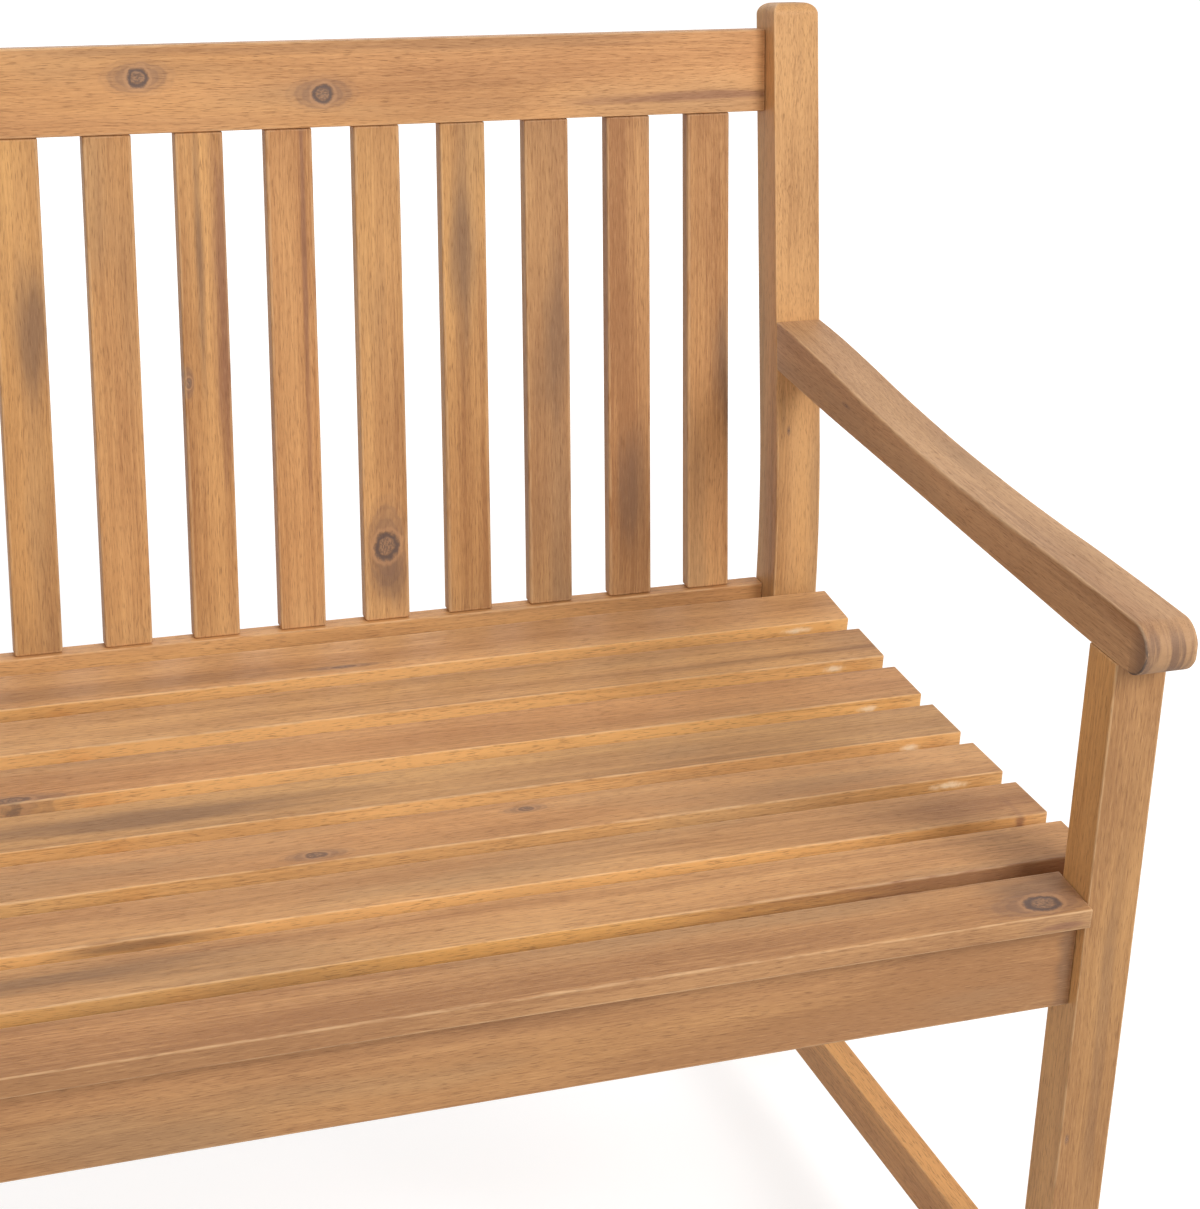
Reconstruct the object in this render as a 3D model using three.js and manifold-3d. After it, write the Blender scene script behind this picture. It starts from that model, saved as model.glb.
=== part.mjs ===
// A two seat slatted garden bench in oiled hardwood, with armrests and a reclined back.
// Millimetres, +Z up from the floor, +Y towards the back. Left and right are as seen from the front.
// The bench is set out with x 0 at its middle, y 0 at the front of the front legs and z 0 on the floor.
// At the end the whole is shifted along y, so that the origin lies under the middle of its outline.

import * as THREE from "three";
import { mergeVertices } from "three/addons/utils/BufferGeometryUtils.js";
import Module from "manifold-3d";

const wasm = await Module();
wasm.setup();

// The whole bench
const BENCH_WIDTH = 1232;
const FIT = 0.3;
const ARRIS = 1.2;
const RAIL_ROUND = 1.5;

// Front legs
const LEG_WIDTH = 37.5;
const LEG_DEPTH = 35;
const LEG_ROUND = 1.6;

// Rear posts: straight below, one sawn bend, then a leaning upper half
const POST_FRONT_Y = 521;
const POST_FOOT_DEPTH = 37.5;
const POST_HEAD_DEPTH = 35;
const POST_BEND_START_Z = 397;
const POST_BEND_RADIUS = 850;
const POST_LEAN_DEGREES = 10.7;
const POST_TOP_Z = 891;
const POST_TOP_ROUND = 9;
const POST_FOOT_ROUND = 2.5;

// Rails of the back, set behind the front of the posts
const BOTTOM_RAIL_SET_BACK = 22.9;
const BOTTOM_RAIL_THICKNESS = 14.5;
const BOTTOM_RAIL_TOP_Z = 429.4;
const BOTTOM_RAIL_HEIGHT = 60;
const TOP_RAIL_SET_BACK = 18.7;
const TOP_RAIL_BOTTOM_Z = 805.8;
const TOP_RAIL_HEIGHT = 63;
const TOP_RAIL_THICKNESS = 17;

// Back slats
const BACK_SLAT_COUNT = 17;
const BACK_SLAT_WIDTH = 35;
const BACK_SLAT_THICKNESS = 12;
const BACK_SLAT_SET_BACK = 3.4;
const BACK_END_GAP = 29;

// Seat slats from front to back: evenly spaced, in a shallow dish, each tipped to follow it
const SEAT_SLAT_WIDTH = 47.5;
const SEAT_SLAT_THICKNESS = 14;
const SEAT_SLAT_ROUND = 1.2;
const SEAT_SLAT_ARRIS = 0.8;
const SEAT_FIRST_Y = 15.8;
const SEAT_LAST_GAP = 39.2;
const SEAT_LOW_Z = 425.8;
const SEAT_DISH = 7.1;
const SEAT_RISE_SHARES = [0.507, 0.535, 0.141, 0.014, 0, 0.113, 0.507, 1];
const SEAT_TIP_DEGREES = [4.1, 0.6, 0.2, 0.2, 0.8, 2.0, 3.2, 5.2];

// Boards under the seat
const APRON_FRONT_Y = 9;
const APRON_THICKNESS = 20;
const APRON_BOTTOM_Z = 347.7;
const SEAT_RAIL_THICKNESS = 22;
const SEAT_RAIL_INSET = 7.75;
const SEAT_RAIL_BOTTOM_Z = 354;
const BEARER_THICKNESS = 22;
const BEARER_BOTTOM_Z = 368;

// Side stretchers between the legs and the posts
const STRETCHER_THICKNESS = 19;
const STRETCHER_INSET = 3;
const STRETCHER_TOP_Z = 99.8;
const STRETCHER_HEIGHT = 35;

// Armrests: level at the front with a full round nose, sweeping up to the post.
// Each line is a smooth curve. Its places are shares of the arm's reach, its heights of the rise.
const ARM_NOSE_Y = -32;
const ARM_TOP_Z = 634;
const ARM_UNDER_Z = 598.6;
const ARM_TOP_RISE = 14.7;
const ARM_UNDER_RISE = 13.2;
const ARM_TOP_SHARES = [
  [0.07, 0],
  [0.176, -0.044],
  [0.25, -0.119],
  [0.352, -0.16],
  [0.445, -0.119],
  [0.528, -0.044],
  [0.615, 0.112],
  [0.707, 0.337],
  [0.802, 0.636],
  [0.9, 0.888],
  [1, 1],
];
const ARM_UNDER_SHARES = [
  [0.053, 0],
  [0.12, 0.03],
  [0.19, 0.09],
  [0.352, 0.22],
  [0.51, 0.394],
  [0.7, 0.576],
  [0.8, 0.68],
  [0.914, 0.867],
  [1, 1],
];

// Tenons and their mortises
const RAIL_TENON_LENGTH = 18;
const APRON_TENON = { depth: 8, height: 44, inset: 4.5, rise: 12 };
const BOTTOM_TENON = { depth: 7, height: 36 };
const TOP_TENON = { depth: 9, height: 36 };
const SEAT_TENON = { width: 11, height: 36, length: 9, rise: 11 };
const STRETCHER_TENON = { width: 9, height: 22, length: 12 };
const BEARER_TENON = { width: 11, height: 26, length: 7, rise: 2 };
const ARM_TENON = { width: 18, height: 17, length: 14 };
const LEG_TENON = { width: 20, depth: 18, length: 20 };
const SLAT_TENON = { width: 24, thickness: 7, length: 12 };

// Furniture bolts through the legs and posts into the ends of the long rails
const BOLT_HEAD_RADIUS = 7;
const BOLT_HEAD_HEIGHT = 2.4;
const BOLT_HEAD_SINK = 1.6;
const BOLT_RADIUS = 3;
const BOLT_LENGTH = 72;
const BOLT_SOCKET_RADIUS = 2.4;
const BOLT_SOCKET_DEPTH = 1.8;
const APRON_BOLT_SHARES = [0.22, 0.77];

// How finely the round forms are divided
const EDGE_STEPS = 3;
const ROUND_STEPS = 6;
const BEND_STEPS = 12;
const NOSE_STEPS = 20;
const SWEEP_STEPS = 18;
const BOLT_SIDES = 24;
const SOCKET_SIDES = 6;

// The overrun of every cut, and how near two corners are taken as one
const BEYOND = 60;
const WELD = 1e-4;

const X_AXIS = new THREE.Vector3(1, 0, 0);
const Y_AXIS = new THREE.Vector3(0, 1, 0);
const Z_AXIS = new THREE.Vector3(0, 0, 1);

// Places worked out from the sizes above

const OUTER_X = BENCH_WIDTH / 2;
const INNER_X = OUTER_X - LEG_WIDTH;
const RAIL_SPAN = INNER_X - FIT;
const BACK_SLAT_PITCH = (2 * (INNER_X - BACK_END_GAP) - BACK_SLAT_WIDTH) / (BACK_SLAT_COUNT - 1);
const postLean = THREE.MathUtils.degToRad(POST_LEAN_DEGREES);
const postUp = new THREE.Vector3(0, Math.sin(postLean), Math.cos(postLean));
const bendTopZ = POST_BEND_START_Z + POST_BEND_RADIUS * Math.sin(postLean);

// y of the front face of the posts at a height
function postFrontAt(z) {
  const rise = THREE.MathUtils.clamp(z, POST_BEND_START_Z, bendTopZ) - POST_BEND_START_Z;
  const bow = POST_BEND_RADIUS - Math.sqrt(POST_BEND_RADIUS ** 2 - rise ** 2);
  return POST_FRONT_Y + bow + Math.max(0, z - bendTopZ) * Math.tan(postLean);
}

const BOTTOM_RAIL_FRONT_Y = POST_FRONT_Y + BOTTOM_RAIL_SET_BACK;
const BOTTOM_RAIL_BOTTOM_Z = BOTTOM_RAIL_TOP_Z - BOTTOM_RAIL_HEIGHT;
const TOP_RAIL_FRONT_Y = postFrontAt(TOP_RAIL_BOTTOM_Z) + TOP_RAIL_SET_BACK;
const backLean = Math.atan2(
  TOP_RAIL_FRONT_Y - BOTTOM_RAIL_FRONT_Y,
  TOP_RAIL_BOTTOM_Z - BOTTOM_RAIL_TOP_Z,
);
const backUp = new THREE.Vector3(0, Math.sin(backLean), Math.cos(backLean));
const backIn = new THREE.Vector3(0, Math.cos(backLean), -Math.sin(backLean));
const APRON_BACK_Y = APRON_FRONT_Y + APRON_THICKNESS;
const ARM_NOSE_RADIUS = (ARM_TOP_Z - ARM_UNDER_Z) / 2;
const ARM_NOSE_Z = (ARM_TOP_Z + ARM_UNDER_Z) / 2;
const ARM_END_Y = postFrontAt(ARM_TOP_Z) + POST_HEAD_DEPTH / 2;
const ARM_END_Z = ARM_NOSE_Z + (ARM_TOP_RISE + ARM_UNDER_RISE) / 2;

const seatPitch =
  (POST_FRONT_Y - SEAT_LAST_GAP - SEAT_FIRST_Y) / (SEAT_RISE_SHARES.length - 1);
const seatSlats = SEAT_RISE_SHARES.map((riseShare, i) => ({
  y: SEAT_FIRST_Y + i * seatPitch,
  z: SEAT_LOW_Z + SEAT_DISH * riseShare,
  tip: THREE.MathUtils.degToRad(SEAT_TIP_DEGREES[i]),
}));

// Solids and meshes

function vec(x, y, z) {
  return new THREE.Vector3(x, y, z);
}

function solidFrom(geometry) {
  const bare = geometry.clone();
  bare.deleteAttribute("normal");
  bare.deleteAttribute("uv");
  const merged = mergeVertices(bare, WELD);
  return new wasm.Manifold(
    new wasm.Mesh({
      numProp: 3,
      vertProperties: new Float32Array(merged.attributes.position.array),
      triVerts: new Uint32Array(merged.index.array),
    }),
  );
}

function geometryFrom(solid) {
  const data = solid.getMesh();
  const geometry = new THREE.BufferGeometry();
  const corners = new Float32Array(data.numVert * 3);
  for (let i = 0; i < data.numVert; i += 1) {
    const start = i * data.numProp;
    corners.set(data.vertProperties.subarray(start, start + 3), i * 3);
  }
  geometry.setAttribute("position", new THREE.BufferAttribute(corners, 3));
  geometry.setIndex(new THREE.BufferAttribute(new Uint32Array(data.triVerts), 1));
  geometry.computeVertexNormals();
  return geometry;
}

function moved(solid, matrix) {
  const geometry = geometryFrom(solid);
  geometry.applyMatrix4(matrix);
  return solidFrom(geometry);
}

// The matrix that lays a shape's own two axes along u and v, and its thickness along u cross v.
function placing(u, v, origin) {
  const w = new THREE.Vector3().crossVectors(u, v);
  return new THREE.Matrix4().makeBasis(u, v, w).setPosition(origin);
}

// A corner list with its sharp corners rounded: each corner is [u, v] or [u, v, radius].
function rounded(corners, steps) {
  const out = [];
  corners.forEach((corner, i) => {
    const [u, v, radius] = corner;
    if (!radius) {
      out.push(new THREE.Vector2(u, v));
      return;
    }
    const before = corners[(i + corners.length - 1) % corners.length];
    const after = corners[(i + 1) % corners.length];
    const here = new THREE.Vector2(u, v);
    const back = new THREE.Vector2(before[0], before[1]).sub(here).normalize();
    const on = new THREE.Vector2(after[0], after[1]).sub(here).normalize();
    const half = Math.acos(THREE.MathUtils.clamp(back.dot(on), -1, 1)) / 2;
    const run = radius / Math.tan(half);
    const start = here.clone().addScaledVector(back, run);
    const end = here.clone().addScaledVector(on, run);
    const centre = back.clone().add(on).normalize();
    centre.multiplyScalar(radius / Math.sin(half)).add(here);
    const from = start.clone().sub(centre).angle();
    let turn = end.clone().sub(centre).angle() - from;
    if (turn > Math.PI) turn -= 2 * Math.PI;
    if (turn < -Math.PI) turn += 2 * Math.PI;
    for (let k = 0; k <= steps; k += 1) {
      const angle = from + (turn * k) / steps;
      const point = new THREE.Vector2(Math.cos(angle), Math.sin(angle));
      out.push(point.multiplyScalar(radius).add(centre));
    }
  });
  return out;
}

// The four corners of a plain board's section, all rounded alike.
function roundedSection(lowU, lowV, highU, highV, radius) {
  const corners = [
    [lowU, lowV, radius],
    [highU, lowV, radius],
    [highU, highV, radius],
    [lowU, highV, radius],
  ];
  return rounded(corners, EDGE_STEPS);
}

// A board cut to an outline, with its arrises eased, laid with its first face on the plane at origin.
function board(corners, thickness, matrix, easing = 0) {
  const geometry = new THREE.ExtrudeGeometry(new THREE.Shape(corners), {
    depth: thickness - 2 * easing,
    bevelEnabled: easing > 0,
    bevelThickness: easing,
    bevelSize: easing,
    bevelOffset: -easing,
    bevelSegments: 1,
    curveSegments: 1,
  });
  geometry.translate(0, 0, easing);
  geometry.applyMatrix4(matrix);
  return solidFrom(geometry);
}

// A board whose outline lies in the side view: corners are in y and z, from x to x + thickness.
function sideBoard(corners, x, thickness, easing = 0) {
  return board(corners, thickness, placing(Y_AXIS, Z_AXIS, vec(x, 0, 0)), easing);
}

// A plain block between two corners, laid along three axes that default to the bench's own.
function block(low, high, u = X_AXIS, v = Y_AXIS, origin = vec(0, 0, 0)) {
  const size = high.clone().sub(low);
  const geometry = new THREE.BoxGeometry(size.x, size.y, size.z);
  geometry.translate((low.x + high.x) / 2, (low.y + high.y) / 2, (low.z + high.z) / 2);
  geometry.applyMatrix4(placing(u, v, origin));
  return solidFrom(geometry);
}

// A tenon and the mortise that takes it, as two blocks with the fit between them.
function tenonAndMortise(low, high, u = X_AXIS, v = Y_AXIS, origin = vec(0, 0, 0)) {
  const play = vec(FIT, FIT, FIT);
  const tenon = block(low, high, u, v, origin);
  const mortise = block(low.clone().sub(play), high.clone().add(play), u, v, origin);
  return { tenon, mortise };
}

// A round pin or bore from one point along a direction.
function rod(from, direction, length, radius, sides = BOLT_SIDES) {
  const geometry = new THREE.CylinderGeometry(radius, radius, length, sides);
  geometry.translate(0, length / 2, 0);
  geometry.applyQuaternion(new THREE.Quaternion().setFromUnitVectors(Y_AXIS, direction));
  geometry.translate(from.x, from.y, from.z);
  return solidFrom(geometry);
}

const bench = new THREE.Group();
const frame = new THREE.Group();
bench.add(frame);

const tones = {
  leg: 0xb07c48,
  post: 0xb8854f,
  arm: 0xad7a49,
  rail: 0xb98852,
  slat: 0xb4824e,
  seat: 0xb58a5b,
  under: 0xa8743f,
  steel: 0x8c8c8a,
};

function addPiece(name, solid, tone) {
  const isSteel = tone === "steel";
  const material = new THREE.MeshStandardMaterial({
    color: tones[tone],
    roughness: isSteel ? 0.35 : 0.58,
    metalness: isSteel ? 1 : 0,
  });
  const mesh = new THREE.Mesh(geometryFrom(solid), material);
  mesh.name = name;
  frame.add(mesh);
  return mesh;
}

const sides = [
  { name: "left", sign: -1 },
  { name: "right", sign: 1 },
];

// x of the lower face of something that fills from inset to inset + thickness outside the inner plane
function sideStart(sign, inset, thickness) {
  return sign > 0 ? INNER_X + inset : -INNER_X - inset - thickness;
}

// Outlines in the side view

function slatCorners(slat, clearance) {
  const along = new THREE.Vector2(Math.cos(slat.tip), Math.sin(slat.tip));
  const down = new THREE.Vector2(Math.sin(slat.tip), -Math.cos(slat.tip));
  const middle = new THREE.Vector2(slat.y, slat.z);
  const at = (a, d) => middle.clone().addScaledVector(along, a).addScaledVector(down, d);
  const half = SEAT_SLAT_WIDTH / 2;
  return {
    topFront: at(-half, 0),
    topBack: at(half, 0),
    underFront: at(-half, SEAT_SLAT_THICKNESS + clearance),
    underBack: at(half, SEAT_SLAT_THICKNESS + clearance),
  };
}

// The line just below the undersides of the slats between two depths, from the front to the back.
function seatLine(fromY, toY, slats) {
  const line = [];
  slats.forEach((slat) => {
    const c = slatCorners(slat, FIT);
    line.push([c.underFront.x, c.underFront.y], [c.underBack.x, c.underBack.y]);
  });
  const heightAt = (y) => {
    if (y <= line[0][0]) return line[0][1];
    for (let i = 1; i < line.length; i += 1) {
      if (y <= line[i][0]) {
        const share = (y - line[i - 1][0]) / (line[i][0] - line[i - 1][0]);
        return THREE.MathUtils.lerp(line[i - 1][1], line[i][1], share);
      }
    }
    return line[line.length - 1][1];
  };
  const inside = line.filter(([y]) => y > fromY + FIT && y < toY - FIT);
  return [[fromY, heightAt(fromY)], ...inside, [toY, heightAt(toY)]];
}

// A board under the seat: its top follows the slats, its underside is level.
function underSeatOutline(fromY, toY, bottomZ, slats) {
  const top = seatLine(fromY, toY, slats).reverse();
  return [[fromY, bottomZ], [toY, bottomZ], ...top].map(([y, z]) => new THREE.Vector2(y, z));
}

function postOutline(clearance) {
  const stations = [{ y: POST_FRONT_Y, z: 0, angle: 0, share: 0 }];
  for (let k = 0; k <= BEND_STEPS; k += 1) {
    const share = k / BEND_STEPS;
    const angle = postLean * share;
    const z = POST_BEND_START_Z + POST_BEND_RADIUS * Math.sin(angle);
    stations.push({ y: postFrontAt(z), z, angle, share });
  }
  stations.push({ y: postFrontAt(POST_TOP_Z), z: POST_TOP_Z, angle: postLean, share: 1 });
  const last = stations.length - 1;
  const front = [];
  const back = [];
  stations.forEach(({ y, z, angle, share }, i) => {
    const depth = THREE.MathUtils.lerp(POST_FOOT_DEPTH, POST_HEAD_DEPTH, share) + 2 * clearance;
    const startY = y - clearance * Math.cos(angle);
    const startZ = z + clearance * Math.sin(angle);
    let radius = 0;
    if (i === 0) radius = POST_FOOT_ROUND;
    if (i === last) radius = POST_TOP_ROUND;
    front.push([startY, startZ, radius]);
    back.push([startY + depth * Math.cos(angle), startZ - depth * Math.sin(angle), radius]);
  });
  return rounded([...back, ...front.reverse()], ROUND_STEPS);
}

// A smooth line of the arm through its shares, from the front to the post.
function armLine(shares, baseZ, rise) {
  const points = shares.map(
    ([reachShare, riseShare]) =>
      new THREE.Vector2(ARM_END_Y * reachShare, baseZ + rise * riseShare),
  );
  return new THREE.SplineCurve(points).getPoints(SWEEP_STEPS);
}

function armOutline(drop) {
  const centreY = ARM_NOSE_Y + ARM_NOSE_RADIUS;
  const corners = [
    ...armLine(ARM_UNDER_SHARES, ARM_UNDER_Z, ARM_UNDER_RISE),
    ...armLine(ARM_TOP_SHARES, ARM_TOP_Z, ARM_TOP_RISE).reverse(),
  ];
  for (let k = 0; k <= NOSE_STEPS; k += 1) {
    const angle = Math.PI / 2 + (Math.PI * k) / NOSE_STEPS;
    const point = new THREE.Vector2(Math.cos(angle), Math.sin(angle));
    corners.push(point.multiplyScalar(ARM_NOSE_RADIUS).add(new THREE.Vector2(centreY, ARM_NOSE_Z)));
  }
  return corners.map((corner) => corner.setY(corner.y - drop));
}

// One flat headed furniture bolt and the bore that takes it. It points inwards from the outer face.
function boltAndBore(point, sign) {
  const inward = vec(-sign, 0, 0);
  const outward = vec(sign, 0, 0);
  const seat = point.clone().addScaledVector(inward, BOLT_HEAD_SINK);
  const crown = seat.clone().addScaledVector(outward, BOLT_HEAD_HEIGHT);
  const head = rod(seat, outward, BOLT_HEAD_HEIGHT, BOLT_HEAD_RADIUS);
  const start = seat.clone().addScaledVector(outward, BOLT_HEAD_HEIGHT / 2);
  const shank = rod(start, inward, BOLT_LENGTH, BOLT_RADIUS);
  const mouth = crown.clone().addScaledVector(outward, FIT);
  const socket = rod(mouth, inward, BOLT_SOCKET_DEPTH + FIT, BOLT_SOCKET_RADIUS, SOCKET_SIDES);
  const bolt = head.add(shank).subtract(socket);
  const recess = seat.clone().addScaledVector(inward, FIT);
  const counterbore = rod(recess, outward, BEYOND, BOLT_HEAD_RADIUS + FIT);
  const hole = rod(start, inward, BOLT_LENGTH + FIT, BOLT_RADIUS + FIT);
  return { bolt, bore: counterbore.add(hole) };
}

// The post's top is rounded across as well as from front to back: one cutter for each side.
function capCutter(faceX, out) {
  const corners = [];
  for (let k = 0; k <= ROUND_STEPS; k += 1) {
    const angle = (Math.PI / 2) * (k / ROUND_STEPS);
    corners.push([
      faceX - out * POST_TOP_ROUND * (1 - Math.sin(angle)),
      POST_TOP_ROUND * (Math.cos(angle) - 1),
    ]);
  }
  corners.push([faceX + out * BEYOND, -POST_TOP_ROUND]);
  corners.push([faceX + out * BEYOND, BEYOND]);
  corners.push([faceX - out * POST_TOP_ROUND, BEYOND]);
  const shape = corners.map(([u, v]) => new THREE.Vector2(u, v));
  const origin = vec(
    0,
    postFrontAt(POST_TOP_Z) + BEYOND * Math.cos(postLean),
    POST_TOP_Z - BEYOND * Math.sin(postLean),
  );
  return board(shape, 2 * BEYOND, placing(X_AXIS, postUp, origin));
}

// Long boards between the end frames

const firstSlat = slatCorners(seatSlats[0], FIT);

function underFirstSlat(y) {
  const share = (y - firstSlat.underFront.x) / (firstSlat.underBack.x - firstSlat.underFront.x);
  return THREE.MathUtils.lerp(firstSlat.underFront.y, firstSlat.underBack.y, share);
}

const apronOutline = rounded(
  [
    [APRON_FRONT_Y, APRON_BOTTOM_Z, RAIL_ROUND],
    [APRON_BACK_Y, APRON_BOTTOM_Z, RAIL_ROUND],
    [APRON_BACK_Y, underFirstSlat(APRON_BACK_Y), RAIL_ROUND],
    [APRON_FRONT_Y, underFirstSlat(APRON_FRONT_Y), RAIL_ROUND],
  ],
  EDGE_STEPS,
);
let apron = sideBoard(apronOutline, -RAIL_SPAN, 2 * RAIL_SPAN);

const bottomRailOutline = roundedSection(
  BOTTOM_RAIL_FRONT_Y,
  BOTTOM_RAIL_BOTTOM_Z,
  BOTTOM_RAIL_FRONT_Y + BOTTOM_RAIL_THICKNESS,
  BOTTOM_RAIL_TOP_Z,
  RAIL_ROUND,
);
let bottomRail = sideBoard(bottomRailOutline, -RAIL_SPAN, 2 * RAIL_SPAN);

// The top rail is set out on its own axes: in is towards the back, up is along the slats.
const topRailCorner = vec(0, TOP_RAIL_FRONT_Y, TOP_RAIL_BOTTOM_Z);
const topRailOutline = roundedSection(0, 0, TOP_RAIL_THICKNESS, TOP_RAIL_HEIGHT, RAIL_ROUND);
const topRailStart = topRailCorner.clone().addScaledVector(X_AXIS, -RAIL_SPAN);
let topRail = board(topRailOutline, 2 * RAIL_SPAN, placing(backIn, backUp, topRailStart));

// Back slats: one is made, cut level on the bottom rail, and copied along both rails

const slatFront = topRailCorner.clone().addScaledVector(backIn, BACK_SLAT_SET_BACK);
const slatLength = (TOP_RAIL_BOTTOM_Z - BOTTOM_RAIL_TOP_Z + BEYOND) / Math.cos(backLean);
const slatStart = slatFront.clone().addScaledVector(backUp, -slatLength);
const slatOutline = roundedSection(
  -BACK_SLAT_WIDTH / 2,
  0,
  BACK_SLAT_WIDTH / 2,
  BACK_SLAT_THICKNESS,
  RAIL_ROUND,
);
let backSlat = board(slatOutline, slatLength - FIT, placing(X_AXIS, backIn, slatStart));
const belowRail = block(
  vec(-BEYOND, 0, -BEYOND),
  vec(BEYOND, POST_TOP_Z, BOTTOM_RAIL_TOP_Z + FIT),
);
backSlat = backSlat.subtract(belowRail);
const tenonHalf = SLAT_TENON.width / 2;
const tenonInset = (BACK_SLAT_THICKNESS - SLAT_TENON.thickness) / 2;
const slatFootY = slatFront.y - (slatFront.z - BOTTOM_RAIL_TOP_Z) * Math.tan(backLean);
const footTenon = tenonAndMortise(
  vec(-tenonHalf, slatFootY + tenonInset, BOTTOM_RAIL_TOP_Z - SLAT_TENON.length),
  vec(tenonHalf, slatFootY + tenonInset + SLAT_TENON.thickness, BOTTOM_RAIL_TOP_Z + 2 * FIT),
);
const headTenon = tenonAndMortise(
  vec(-tenonHalf, tenonInset, -2 * FIT),
  vec(tenonHalf, tenonInset + SLAT_TENON.thickness, SLAT_TENON.length),
  X_AXIS,
  backIn,
  slatFront,
);
backSlat = backSlat.add(footTenon.tenon).add(headTenon.tenon);
for (let i = 0; i < BACK_SLAT_COUNT; i += 1) {
  const x = (i - (BACK_SLAT_COUNT - 1) / 2) * BACK_SLAT_PITCH;
  const shift = new THREE.Matrix4().makeTranslation(x, 0, 0);
  bottomRail = bottomRail.subtract(moved(footTenon.mortise, shift));
  topRail = topRail.subtract(moved(headTenon.mortise, shift));
  const name = "back_slat_" + String(i + 1).padStart(2, "0");
  addPiece(name, backSlat, "slat").position.x = x;
}

// The middle bearer carries the seat slats between the apron and the bottom rail

const bearerFrontY = APRON_BACK_Y + FIT;
const bearerBackY = BOTTOM_RAIL_FRONT_Y - FIT;
const bearerOutline = underSeatOutline(bearerFrontY, bearerBackY, BEARER_BOTTOM_Z, seatSlats);
let bearer = sideBoard(bearerOutline, -BEARER_THICKNESS / 2, BEARER_THICKNESS);
const bearerTenonLow = BEARER_BOTTOM_Z + BEARER_TENON.rise;
const bearerTenonHigh = bearerTenonLow + BEARER_TENON.height;
const bearerFrontJoint = tenonAndMortise(
  vec(-BEARER_TENON.width / 2, bearerFrontY - BEARER_TENON.length, bearerTenonLow),
  vec(BEARER_TENON.width / 2, bearerFrontY + FIT, bearerTenonHigh),
);
const bearerBackJoint = tenonAndMortise(
  vec(-BEARER_TENON.width / 2, bearerBackY - FIT, bearerTenonLow),
  vec(BEARER_TENON.width / 2, bearerBackY + BEARER_TENON.length, bearerTenonHigh),
);
bearer = bearer.add(bearerFrontJoint.tenon).add(bearerBackJoint.tenon);
apron = apron.subtract(bearerFrontJoint.mortise);
bottomRail = bottomRail.subtract(bearerBackJoint.mortise);
addPiece("seat_bearer_middle", bearer, "under");

// Seat slats: the front one fits between the legs, the others run out over the side rails

seatSlats.forEach((slat, i) => {
  const c = slatCorners(slat, 0);
  const corners = [c.underFront, c.underBack, c.topBack, c.topFront];
  const outline = rounded(corners.map(({ x, y }) => [x, y, SEAT_SLAT_ROUND]), EDGE_STEPS);
  const half = i === 0 ? RAIL_SPAN : OUTER_X;
  addPiece("seat_slat_" + (i + 1), sideBoard(outline, -half, 2 * half, SEAT_SLAT_ARRIS), "seat");
});

// End frames

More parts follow.
